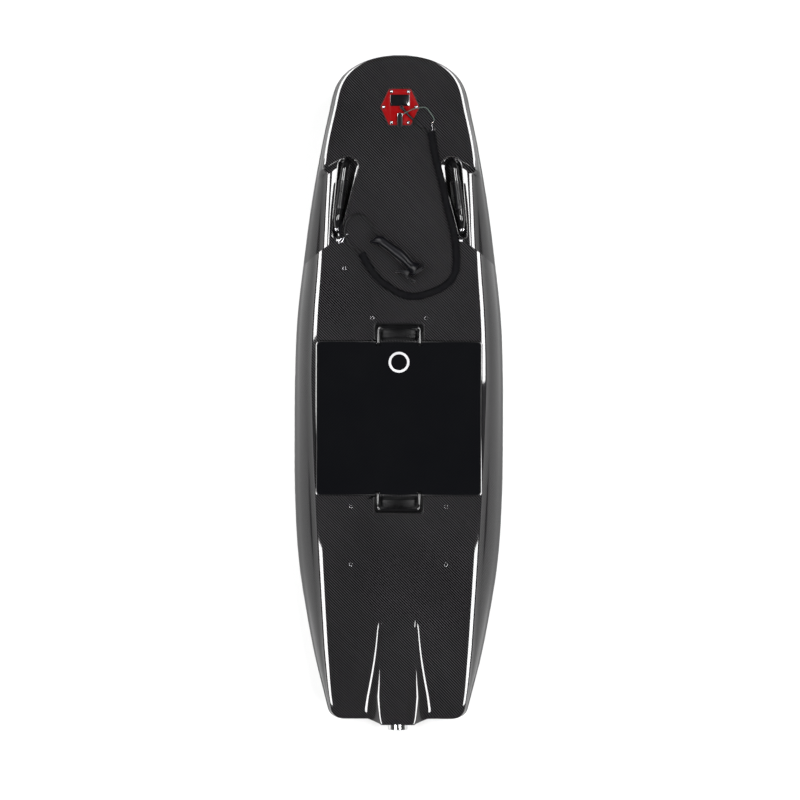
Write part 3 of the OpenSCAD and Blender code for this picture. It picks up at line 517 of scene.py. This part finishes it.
def rgba(r, g, b):
    return (r * TONE, g * TONE, b * TONE, 1.0)


def twill(name, tow=0.0019, uv=True, painted_glint_color=0.055, dark=0.0004, coat_rough=0.03):
    """Clear-coated 2x2 twill with a painted highlight: the middle of each warp float, where the
    light would catch it, is painted lighter in the base colour.
    """
    m = Nodes(name)
    split = m.new("ShaderNodeSeparateXYZ")
    m.link(m.place((1 / tow,) * 3, uv=uv), split.inputs[0])
    u, v = split.outputs[0], split.outputs[1]
    warp = m.math("FLOORED_MODULO", m.math("ADD", m.math("FLOOR", u), v), 4.0)
    weft = m.math("FLOORED_MODULO", m.math("ADD", m.math("FLOOR", v), u), 4.0)
    over = m.math("LESS_THAN", warp, 2.0)
    arch = m.math("MAXIMUM", m.math("SINE", m.math("MULTIPLY", warp, math.pi / 2)), 0.0)
    tuck = m.math("MAXIMUM", m.math("SINE", m.math("MULTIPLY", weft, math.pi / 2)), 0.0)
    round_u = m.math("SINE", m.math("MULTIPLY", m.math("FRACT", u), math.pi))
    round_v = m.math("SINE", m.math("MULTIPLY", m.math("FRACT", v), math.pi))
    # Painted highlight: a bright spot at the middle of each warp float and a faint one on the weft
    # stand in for the fibres' sheen.
    painted_glint = m.math("MULTIPLY", m.math("POWER", arch, 3.5), m.math("POWER", round_u, 0.5))
    weft_painted_glint = m.math("MULTIPLY", m.math("POWER", tuck, 2.0), round_v)
    plain = m.place(uv=uv)
    stretch = m.new("ShaderNodeMapping")
    stretch.inputs["Scale"].default_value = (9000, 300, 300)
    m.link(plain, stretch.inputs["Vector"])
    fibre = m.noise(stretch.outputs[0], 1.0, 2.0)
    patch = m.noise(plain, 3.0, 3.0)
    painted_highlight = m.math("MULTIPLY", painted_glint, m.remap(patch, 0.3, 0.7, 0.75, 1.2))
    painted_highlight = m.math("MULTIPLY", painted_highlight, m.remap(fibre, 0.2, 0.8, 0.65, 1.3))
    painted_highlight = m.math("MULTIPLY_ADD", weft_painted_glint, 0.05, painted_highlight)
    # The base colour runs from the dark fibre colour to the painted highlight colour.
    m.put(m.bsdf.inputs["Base Color"],
          m.mix(painted_highlight, rgba(dark, dark, dark * 1.1), rgba(painted_glint_color, painted_glint_color * 0.97, painted_glint_color * 1.03)))
    m.put(m.bsdf.inputs["Roughness"], m.remap(fibre, 0.2, 0.8, 0.45, 0.6))
    m.set(spec=0.0, coat=TONE, coat_rough=coat_rough, ior=1.5)
    height = m.math("MULTIPLY_ADD", over, m.math("MULTIPLY", arch, round_u), round_v)
    m.bump(height, 0.25, 0.0002)
    m.bump(m.noise(plain, 14.0, 2.0), 0.04, 0.002, coat=True)
    return m.mat


def plastic(name, color, rough=0.45, grain=900.0, depth=0.00012, coat=0.0, wear=0.25,
            spec=0.5):
    """Moulded plastic: fine grain, patchy gloss and slightly paler rubbed areas."""
    m = Nodes(name)
    plain = m.place()
    fine, broad = m.noise(plain, grain, 3.0), m.noise(plain, 22.0, 4.0)
    r, g, b = color
    pale = rgba(r * (1 + wear) + 0.0004, g * (1 + wear) + 0.0004, b * (1 + wear) + 0.0005)
    m.put(m.bsdf.inputs["Base Color"],
          m.mix(m.remap(broad, 0.35, 0.7, 0.0, 1.0), rgba(r, g, b), pale))
    m.put(m.bsdf.inputs["Roughness"], m.remap(broad, 0.3, 0.7, rough * 0.85, rough * 1.15))
    m.set(coat=coat * TONE, coat_rough=0.06, ior=1.48, spec=spec * TONE)
    m.bump(fine, 0.3, depth)
    return m.mat


def metal(name, color, rough=0.22, along=(1, 1, 30), brush=0.00004, wear=0.15):
    """Machined metal: fine lines one way, with patches that are a little duller."""
    m = Nodes(name)
    lines = m.noise(m.place(tuple(60 * a for a in along)), 4.0, 5.0, 0.6)
    broad = m.noise(m.place(), 30.0, 3.0)
    r, g, b = color
    m.put(m.bsdf.inputs["Base Color"],
          m.mix(m.remap(broad, 0.3, 0.75, 0.0, 1.0), rgba(r, g, b),
                rgba(r * (1 - wear), g * (1 - wear), b * (1 - wear))))
    m.put(m.bsdf.inputs["Roughness"], m.remap(lines, 0.3, 0.7, rough * 0.7, rough * 1.4))
    m.set(metal=1.0)
    m.bump(lines, 0.35, brush)
    return m.mat


def weave(name, color, thread=0.0006, rough=0.75, sheen=0.35):
    """Woven nylon: two sets of threads, plain weave, with a faint sheen."""
    m = Nodes(name)
    vector = m.place((1 / thread,) * 3)
    split = m.new("ShaderNodeSeparateXYZ")
    m.link(vector, split.inputs[0])
    a = m.math("SINE", m.math("MULTIPLY", split.outputs[0], math.pi))
    b = m.math("SINE", m.math("MULTIPLY", split.outputs[1], math.pi))
    height = m.math("MULTIPLY", a, b)
    broad = m.noise(m.place(), 40.0, 4.0)
    r, g, bl = color
    m.put(m.bsdf.inputs["Base Color"],
          m.mix(m.remap(broad, 0.3, 0.7, 0.0, 1.0), rgba(r * 0.7, g * 0.7, bl * 0.7),
                rgba(r * 1.5, g * 1.5, bl * 1.5)))
    m.put(m.bsdf.inputs["Roughness"], m.remap(broad, 0.3, 0.7, rough * 0.9, rough * 1.1))
    m.set(sheen=sheen, sheen_rough=0.4, spec=0.04)
    m.bump(height, 0.5, 0.0002)
    return m.mat


def pad_material():
    """Closed-cell foam with a fine raised diagonal pattern; the ridge tops are painted lighter and
    the grooves darker, painted shade in the grooves.
    """
    m = Nodes("deck_pad_foam")
    turned = m.place((1, 1, 1), (0, 0, math.radians(45)))
    split = m.new("ShaderNodeSeparateXYZ")
    m.link(turned, split.inputs[0])
    ridge = m.math("SINE", m.math("MULTIPLY", split.outputs[0], 2 * math.pi / 0.0056))
    cells, broad = m.noise(m.place(), 2400.0, 2.0), m.noise(m.place(), 7.0, 4.0)
    height = m.math("MULTIPLY_ADD", cells, 0.4, ridge)
    # Painted shade: the colour follows the ridges, darker in the grooves and lighter on the ridge
    # tops.
    painted_ridge_shade = m.remap(ridge, -1.0, 1.0, 0.0, 1.0)
    low = m.mix(m.remap(broad, 0.35, 0.7, 0.0, 1.0), rgba(0.0006, 0.0007, 0.001),
                rgba(0.0008, 0.0009, 0.0013))
    m.put(m.bsdf.inputs["Base Color"], m.mix(painted_ridge_shade, low, rgba(0.0012, 0.0013, 0.0018)))
    m.put(m.bsdf.inputs["Roughness"], m.remap(broad, 0.3, 0.7, 0.8, 0.92))
    m.set(spec=0.02)
    m.bump(height, 0.25, 0.0003)
    return m.mat


MATS = {
    "carbon_hull": twill("carbon_hull"),
    "carbon": twill("carbon_part", uv=False),
    "foam": plastic("core_foam", (0.75, 0.7, 0.55), 0.85, 500.0, 0.0004),
    "rubber": plastic("rubber", (0.0016, 0.0016, 0.002), 0.3, 700.0, 0.00005, spec=0.35),
    "black_plastic": plastic("black_plastic", (0.0018, 0.0018, 0.002), 0.3, 500.0, 0.00003,
                             spec=0.12),
    "steel": metal("steel", (0.3, 0.3, 0.31), 0.18),
    "coated_tube": plastic("coated_tube", (0.002, 0.002, 0.0022), 0.14, 300.0, 0.00002, 0.6,
                           spec=0.3),
    "red_plate": plastic("red_anodised", (0.1, 0.0002, 0.0006), 0.3, 700.0, 0.00002, 0.0, 0.15,
                         0.06),
    "circuit_board": plastic("circuit_board", (0.01, 0.12, 0.04), 0.4, 300.0, 0.0001),
    "display": plastic("display_glass", (0.002, 0.002, 0.0024), 0.12, 100.0, 0.00001, 1.0),
    "handset_plastic": plastic("handset_plastic", (0.0016, 0.0016, 0.0022), 0.3, 800.0,
                               0.00005, spec=0.1),
    "deck_pad": pad_material(),
    "white_print": plastic("white_print", (0.24, 0.24, 0.245), 0.5, 600.0, 0.00005),
    "cells": plastic("cell_wrap", (0.05, 0.16, 0.4), 0.35, 300.0, 0.0001, 0.3),
    "brass": metal("brass", (0.75, 0.55, 0.25), 0.25),
    "aluminium": metal("aluminium", (0.62, 0.63, 0.65), 0.32),
    "motor_core": metal("motor_core", (0.4, 0.4, 0.42), 0.4),
    "copper": metal("copper", (0.78, 0.42, 0.25), 0.3),
    "cable_jacket": plastic("cable_jacket", (0.002, 0.002, 0.0022), 0.25, 900.0, 0.00003,
                            spec=0.1),
    "bronze": metal("bronze", (0.6, 0.48, 0.3), 0.25),
    "polished_nozzle": metal("polished_nozzle", (0.8, 0.8, 0.8), 0.14, (30, 1, 30)),
    "tether_line": plastic("tether_line", (0.03, 0.042, 0.036), 0.3, 900.0, 0.00005,
                           spec=0.15),
    "sleeve_fabric": weave("sleeve_fabric", (0.0006, 0.0006, 0.001), sheen=0.001),
}

slot_of = {row["node"]: row["material_slot"] for row in frame["record"]["subparts"]}
for node, ob in frame["nodes"].items():
    ob.data.materials.clear()
    ob.data.materials.append(MATS[slot_of[node]])


def finish_piece(ob, body, slot, material=None, replaces=(), shade=35):
    """Material, shading and body, and hides the CAD parts that the piece stands for."""
    if ob.type == "MESH" and shade:
        smooth_shade(ob, shade)
    ob.data.materials.clear()
    ob.data.materials.append(material or MATS[slot])
    if replaces:
        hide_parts(*replaces)
    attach(ob, body)
    return ob


deck = moulding("deck_skin", 2)
cut(deck, deck_cutter())
finish_piece(deck, "board", "carbon", MATS["carbon_hull"], ["deck_shell"], 28)
hull = moulding("hull_skin", 3)
cut(hull, hull_cutter())
finish_piece(hull, "board", "carbon", MATS["carbon_hull"], ["hull_shell"], 28)

# ---------------------------------------------------------------- pieces taken from the CAD mesh
body_of = {node: body for body, nodes in frame["record"]["behaviour"]["bodies"].items()
           for node in nodes}


def refined(node, bevel=0.0, angle=32, segments=2):
    """A copy of a CAD piece with its edges rounded and its curved faces shaded smooth."""
    source = frame["nodes"][node]
    mesh = source.data.copy()
    mesh.transform(source.matrix_world)
    ob = bpy.data.objects.new(node + "_piece", mesh)
    scene.collection.objects.link(ob)
    bm = bmesh.new()
    bm.from_mesh(mesh)
    bmesh.ops.remove_doubles(bm, verts=bm.verts, dist=2e-6)
    if bevel:
        bmesh.ops.dissolve_limit(bm, angle_limit=math.radians(0.4), verts=bm.verts,
                                 edges=bm.edges)
    bm.to_mesh(mesh)
    bm.free()
    if bevel:
        m = ob.modifiers.new("edges", "BEVEL")
        m.width, m.segments = bevel * MM, segments
        m.limit_method, m.angle_limit = "ANGLE", math.radians(angle)
        m.use_clamp_overlap = True
        baked(ob)
    return finish_piece(ob, body_of[node], slot_of[node], None, [node], angle)


for node, bevel in (("control_plate", 0.6), ("deck_screws", 0.35), ("display_window", 0.3),
                    ("key_seat", 0.3), ("magnetic_key", 0.8), ("cable_gland", 0.5),
                    ("strap_inserts", 0.0), ("front_recess_tray", 0.7),
                    ("rear_recess_tray", 0.7), ("battery_bay", 0.6), ("battery_lid", 0.4),
                    ("handset_flange", 1.1), ("throttle_trigger", 1.2), ("handset_screws", 0.3),
                    ("front_bail", 0.0), ("rear_bail", 0.0), ("bail_pins", 0.3),
                    ("left_handle_pocket", 0.7), ("right_handle_pocket", 0.7), ("fins", 1.0),
                    ("jet_nozzle", 0.5), ("intake_grate", 0.6), ("pad_ring", 0.0)):
    refined(node, bevel)
refined("deck_pad", 0.7, 32, 3)


# ---------------------------------------------------------------- tubes and cords
def smooth_line(points, n):
    """A smooth line through given points, cut into n steps between neighbours."""
    p = [np.array(q, float) for q in points]
    out, m = [], len(p) - 1
    for i in range(m):
        a, b, c, d = p[max(i - 1, 0)], p[i], p[i + 1], p[min(i + 2, m)]
        for k in range(n):
            t = k / n
            out.append(0.5 * (2 * b + (c - a) * t + (2 * a - 5 * b + 4 * c - d) * t**2
                              + (3 * b - a - 3 * c + d) * t**3))
    return out + [p[-1]]


def frames(points, up=(0, 0, 1)):
    """At each point, the line's direction and two unit vectors across it."""
    rows = []
    for i in range(len(points)):
        d = points[min(i + 1, len(points) - 1)] - points[max(i - 1, 0)]
        d = d / np.linalg.norm(d)
        s = np.cross(d, np.array(up, float))
        s = s / np.linalg.norm(s)
        rows.append((d, s, np.cross(s, d)))
    return rows


def sweep(name, points, radius, sides=16, up=(0, 0, 1), place=None):
    """A closed tube; radius is a number or a function of (step, angle) giving two half widths."""
    rings = []
    for i, (d, s, u) in enumerate(frames(points, up)):
        ring = []
        for k in range(sides):
            g = 2 * math.pi * k / sides
            a, b = radius(i, g) if callable(radius) else (radius, radius)
            q = points[i] + a * math.cos(g) * s + b * math.sin(g) * u
            ring.append(tuple(place @ Vector(q)) if place is not None else tuple(q))
        rings.append(ring)
    return loft(name, rings)


def boolean(ob, other, operation):
    m = ob.modifiers.new("join", "BOOLEAN")
    m.operation, m.object, m.solver = operation, other, "MANIFOLD"
    baked(ob)
    bpy.data.objects.remove(other)
    return ob


def rod(name, outline, low, high, place):
    bm = bmesh.new()
    prism(bm, outline, low, high, place)
    return bm_object(name, bm)


def on_deck(p, r):
    return (p[0], p[1], deck_z(p[1]) + r + 0.4 + (p[2] if len(p) > 2 else 0.0))


CORD_R, CLIP_R, CABLE_R, SLEEVE_R, BAR_R = 1.5, 1.3, 3.0, 6, 9.5
CLOTH = 0.7
TETHER = [(9.5, 749.5, 13), (17, 753.5, 15), (26, 758, 15), (35, 762.5, 12), (50, 766, 8),
          (64, 768, 4), (74, 764, 1), (82, 753, 0), (90, 741, 0), (92.5, 733, 0)]
FRONT = [(12, 759.1, 7.2), (18, 752.5, 7.3), (25, 745, 7.3), (35, 735, 6.8), (48, 723, 3),
         (62, 712, 1), (74, 706, 2.5), (84, 699, 3)]
SLEEVE = [(83, 702), (88, 680), (92, 657), (101, 615), (119, 547), (131, 490), (146, 434),
          (152, 385), (153, 348), (149, 323), (134, 300), (108, 281), (75, 268), (40, 261),
          (5, 268), (-27, 286), (-54, 306), (-78, 335), (-95, 364), (-102, 377)]
REAR = [(-108, 382, 3), (-119, 389, 1), (-133, 400, 3.5), (-144, 417, 4), (-147.5, 438, 3),
        (-142, 460, 0.5), (-129, 476, 0), (-110, 482, 0), (-92, 474, 1), (-77, 459, 6),
        (-65, 440, 12), (-53, 420, 14)]

# kill cord, from the key to its clip
line = smooth_line([on_deck(p, CORD_R) for p in TETHER], 6)
wire = smooth_line([on_deck(p, CLIP_R) for p in ((91.4, 730.6), (87.4, 727), (86.6, 724), (87, 716),
                                              (87.6, 706.5))], 6)
clip = sweep("tether_clip_wire", wire, CLIP_R, 12)
at = Matrix.Translation((93, 708.5, deck_z(708.5) + 0.4))
boolean(clip, rod("knob", circle(3, n=32), 0, 5, at), "UNION")
cross = Matrix.Translation((87, 708.5, deck_z(708.5) + 2.2)) @ Matrix.Rotation(
    math.radians(90), 4, "Y")
boolean(clip, rod("cross", circle(0.9, n=16), 0, 5, cross), "UNION")
finish_piece(clip, "board", "steel", None, ["tether_clip"])
cord = sweep("kill_cord", line, CORD_R, 12)
finish_piece(cord, "board", "tether_line", None, ["tether"], 60)

# control cable, through its sleeve to the hand controller
route = ([on_deck(p, CABLE_R) for p in FRONT]
         + [on_deck((p[0], p[1], 3), CABLE_R) for p in SLEEVE[1:-1]]
         + [on_deck(p, CABLE_R) for p in REAR])
line = smooth_line(route, 6)
cable = sweep("control_cable_line", line, CABLE_R, 14)
finish_piece(cable, "board", "cable_jacket", None, ["control_cable"], 60)

# woven sleeve: a wrinkled tube of cloth with a stitched seam and hems
line = smooth_line([on_deck(p, SLEEVE_R) for p in SLEEVE], 15)
along = [0.0]
for q, r in zip(line, line[1:]):
    along.append(along[-1] + float(np.linalg.norm(r - q)))


def fold(i, g, inset):
    """Half width and half height of the sleeve at step i and angle g, less the inset."""
    x, c, n = along[i], math.cos(g), math.sin(g)
    crease = noise.noise(Vector((x * 0.055, c * 1.1, n * 1.1)))
    fine = noise.noise(Vector((x * 0.16, c * 2.3 + 7, n * 2.3)))
    pleat = abs(noise.noise(Vector((x * 0.09 + 2.5 * g / math.pi, 3.1, c)))) - 0.25
    r = 1.5 * crease + 0.8 * fine - 1.3 * pleat
    end = min(x, along[-1] - x)
    hem = 0.6 if 2 < end < 9 else 0.0
    seam = 0.7 * math.exp(-(((g - 0.9) / 0.12) ** 2))
    k = max(0.0, min(1.0, end / 12))
    a, b = 9.2 + r * k + hem + seam - inset, 5.3 + 0.6 * r * k + 0.3 * hem + 0.4 * seam - inset
    return a, min(b, 6.0 - inset) if n < 0 else b


rings = []
sides = 40
for inset, order in ((0.0, 1), (CLOTH, -1)):
    tube = []
    for i, (d, s, u) in enumerate(frames(line)):
        ring = []
        for k in range(sides):
            g = 2 * math.pi * k / sides
            a, b = fold(i, g, inset)
            ring.append(tuple(line[i] + a * math.cos(g) * s + b * math.sin(g) * u))
        tube.append(ring)
    rings += tube[::order]
verts = [q for r in rings for q in r]
count = len(rings)
faces = [(i * sides + k, i * sides + (k + 1) % sides,
          ((i + 1) % count) * sides + (k + 1) % sides, ((i + 1) % count) * sides + k)
         for i in range(count) for k in range(sides)]
sleeve = new_object("cable_sleeve_cloth", verts, faces)
outward(sleeve)
finish_piece(sleeve, "board", "sleeve_fabric", None, ["cable_sleeve"], 50)

# snap hook and its webbing
hook_z = deck_z(418) + 0.5
ring = [(11 * math.cos(t), 4.6 * math.sin(t), 0) for t in np.linspace(0, 2 * math.pi, 49)]
hook_at = Matrix.Translation((-156.5, 411, hook_z + 2)) @ Matrix.Rotation(
    math.radians(48), 4, "Z")
loop = [np.array(hook_at @ Vector((q[0] * 0.83, q[1] * 0.8, 0))) for q in ring[:-1]]
verts = []
for i in range(48):
    d = loop[(i + 1) % 48] - loop[i - 1]
    d = d / np.linalg.norm(d)
    out = np.cross(d, (0, 0, 1))
    verts += [tuple(loop[i] + 1.7 * math.cos(g) * out + 1.7 * math.sin(g) * np.array((0, 0, 1)))
              for g in np.linspace(0, 2 * math.pi, 13)[:-1]]
faces = [(i * 12 + k, i * 12 + (k + 1) % 12, ((i + 1) % 48) * 12 + (k + 1) % 12,
          ((i + 1) % 48) * 12 + k) for i in range(48) for k in range(12)]
hook = new_object("snap_hook_ring", verts, faces)
outward(hook)
gate = [np.array((-151 + 11.4 * t, 416.9 + 12 * t, hook_z + 1.6)) for t in np.linspace(0, 1, 9)]
boolean(hook, sweep("gate", gate, 1.1, 12), "UNION")
boolean(hook, rod("ball", circle(2.9, n=32), 0, 5, Matrix.Translation((-139.6, 429, hook_z))),
        "UNION")
finish_piece(hook, "board", "steel", None, ["snap_hook"])

belt = smooth_line([(159.1, 421.6, 4.2), (159.3, 430, 3.9), (159.1, 440, 3.6), (158.2, 448, 4.4),
                    (156.6, 456, 4.1), (155.6, 463.8, 4.0)], 6)
widths = np.interp(range(len(belt)), [0, 12, 18, 24, 30], [3.2, 3.3, 3.1, 1.6, 1.0])


def webbing(i, g):
    """Half width and half thickness of the strap: a raised edge and a rippled face."""
    return widths[i] * (1 if abs(math.cos(g)) < 0.99 else 1.02), 0.75 + 0.12 * math.sin(i * 2.1)


strap = sweep("hook_webbing", belt, webbing, 16, (0, 0, 1), handle_frame(-1))
finish_piece(strap, "board", "sleeve_fabric", None, ["hook_strap"], 50)

# ---------------------------------------------------------------- handles
GRIP_LOW, GRIP_HIGH = (165, 482, 13), (150.5, 590, 13)
BAR = ([(168.5, 448, -5), (167.5, 458, 4), (166.5, 469, 10.5), GRIP_LOW, GRIP_HIGH,
        (148, 606, 10), (143.5, 617, -1), (141, 621, -14), (140.5, 621.5, -25.2)])
low_end, high_end = smooth_line(BAR[:4], 7), smooth_line(BAR[4:8], 7)
for side, label in ((-1, "left"), (1, "right")):
    bar = sweep(label + "_handle_tube", low_end + high_end + [np.array(BAR[8], float)], BAR_R, 28,
                (1, 0.2, 0.05), handle_frame(side))
    foot = handle_frame(side) @ Matrix.Translation((168.5, 441, 0))
    boolean(bar, rod("foot", circle(9, n=40), -9, -2, foot), "UNION")
    boolean(bar, rod("hole", circle(3.2, n=24), -10, 10, foot), "DIFFERENCE")
    boolean(bar, rod("seat", circle(5.6, n=32), -2, 30, foot), "DIFFERENCE")
    boolean(bar, rod("post", circle(9.3, n=32), -40, -9.1, foot), "DIFFERENCE")
    finish_piece(bar, "board", "coated_tube", None, [label + "_handle_bar"], 32)

grips = []
axis = np.array(GRIP_HIGH, float) - np.array(GRIP_LOW, float)
start = np.array(GRIP_LOW, float) + 0.14 * axis
axis = axis / np.linalg.norm(axis)
for side in (-1, 1):
    steps, radii = [], []
    for x in np.linspace(0, 76, 190):
        rib = 11.5 - 0.9 * (0.5 + 0.5 * math.cos(2 * math.pi * (x - 9) / 4.45)) ** 2
        collar = min(x, 76 - x) < 9
        edge = min(x, 76 - x, 1.0)
        radii.append((11.5 if collar else rib) - 1.0 * (1 - math.sqrt(1 - (1 - edge) ** 2)))
        steps.append(start + x * axis)
    outer = sweep("grip", steps, lambda i, g: (radii[i], radii[i]), 40, (0, 0, 1),
                  handle_frame(side))
    bore = [start + x * axis for x in (-2, 78)]
    boolean(outer, sweep("bore", bore, 9.9, 32, (0, 0, 1), handle_frame(side)), "DIFFERENCE")
    grips.append(outer)
for name, ob in (("left_grip", grips[0]), ("right_grip", grips[1])):
    ob.name = name
    finish_piece(ob, "board", "rubber", None, ["handle_grips"], 40)

# ---------------------------------------------------------------- hand controller
SET = [(10, 8, 3, 3), (18, 12, 6, 7), (26, 19, 11, 11), (36, 23, 13, 13.5), (50, 21, 13, 14.5),
       (66, 18.5, 13, 15), (84, 15.5, 14.5, 15.5), (100, 13, 15, 16), (116, 8.5, 14, 16),
       (130, 3.5, 13, 15.5), (142, 0, 15, 16), (150, -1.5, 19, 18), (155, -2, 22, 19)]
HANDSET = Matrix.Translation((-92, 406, 170)) @ Matrix.Rotation(math.radians(-27.3), 4, "Z")
shape = smooth_line(SET, 6)
rings = []
sides = 56
for i, (u, v, w, h) in enumerate(shape):
    before, after = shape[max(i - 1, 0)], shape[min(i + 1, len(shape) - 1)]
    lean = math.atan2(after[1] - before[1], after[0] - before[0])
    ring = []
    for k in range(sides):
        g = 2 * math.pi * k / sides
        groove = 0.5 * math.exp(-((math.sin(g) * h / 0.7) ** 2))
        a = (w - groove) * math.copysign(abs(math.cos(g)) ** 0.92, math.cos(g))
        b = h * math.copysign(abs(math.sin(g)) ** 0.92, math.sin(g))
        ring.append(tuple(HANDSET @ Vector((u - a * math.sin(lean), v + a * math.cos(lean), b))))
    rings.append(ring)
for t in (0.75, 0.4):
    centre = np.mean(rings[0], axis=0)
    tip = centre + (np.mean(rings[0], axis=0) - np.mean(rings[3], axis=0)) * 0.25 * (1 - t)
    rings.insert(0, [tuple(tip + t * (np.array(q) - centre)) for q in rings[0]])
grip_body = loft("handset_body", rings)
bm = bmesh.new()
prism(bm, [(118, -60), (150, -60), (150, -5), (118, -5)], -5, 5, HANDSET)
boolean(grip_body, bm_object("slot", bm), "DIFFERENCE")
flange_at = HANDSET @ Matrix.Translation((159, -1.5, 0)) @ Matrix.Rotation(
    math.radians(-28), 4, "Z") @ Matrix.Rotation(math.radians(90), 4, "Y")
bm = bmesh.new()
prism(bm, [(-60, -60), (60, -60), (60, 60), (-60, 60)], -0.1, 60, flange_at)
boolean(grip_body, bm_object("end", bm), "DIFFERENCE")
finish_piece(grip_body, "board", "handset_plastic", None,
             ["handset_left_shell", "handset_right_shell"], 34)

# ---------------------------------------------------------------- stage and light
floor_mesh = bpy.data.meshes.new("floor")
R = 30.0
floor_mesh.from_pydata([(-R, -R, 0), (R, -R, 0), (R, R, 0), (-R, R, 0)], [], [(0, 1, 2, 3)])
floor = bpy.data.objects.new("floor", floor_mesh)
floor.location.z = -0.0005
scene.collection.objects.link(floor)
pale = Nodes("pale_floor")
pale.set(color=rgba(0.62, 0.62, 0.62), rough=0.9, spec=0.0)
floor_mesh.materials.append(pale.mat)


def strip(name, x, y, length):
    """A long softbox beside the camera, tilted in towards the board's middle line."""
    data = bpy.data.lights.new(name, "AREA")
    data.shape = "RECTANGLE"
    data.size, data.size_y = STRIP_WIDTH, length
    data.energy = RADIANCE * math.pi * STRIP_WIDTH * length
    ob = bpy.data.objects.new(name, data)
    scene.collection.objects.link(ob)
    ob.location = (x, y, STRIP_Z)
    ob.rotation_euler = (0, math.atan2(x, STRIP_Z), 0)


STRIP_X, STRIP_Z, STRIP_WIDTH, RADIANCE = 1.65, 3.4, 0.9, 40.0
for name, side, low, high in (("front_left", -1, 0.25, 2.6), ("rear_left", -1, -2.6, -0.6),
                              ("front_right", 1, 0.03, 2.6), ("rear_right", 1, -2.6, -0.6)):
    strip(name, side * STRIP_X, (low + high) / 2, high - low)

world = bpy.data.worlds.new("studio")
world.use_nodes = True
scene.world = world
wt = world.node_tree
background = next(n for n in wt.nodes if n.type == "BACKGROUND")
coords = wt.nodes.new("ShaderNodeTexCoord")
axes = wt.nodes.new("ShaderNodeSeparateXYZ")
ramp = wt.nodes.new("ShaderNodeValToRGB")
wt.links.new(coords.outputs["Generated"], axes.inputs[0])
wt.links.new(axes.outputs[2], ramp.inputs[0])
wt.links.new(ramp.outputs[0], background.inputs[0])
ramp.color_ramp.elements[0].position = 0.0
ramp.color_ramp.elements[0].color = (0.3, 0.3, 0.3, 1)
ramp.color_ramp.elements[1].position = 0.5
ramp.color_ramp.elements[1].color = (0.03, 0.03, 0.03, 1)
background.inputs[1].default_value = 1.0
scene.view_settings.view_transform = "Standard"
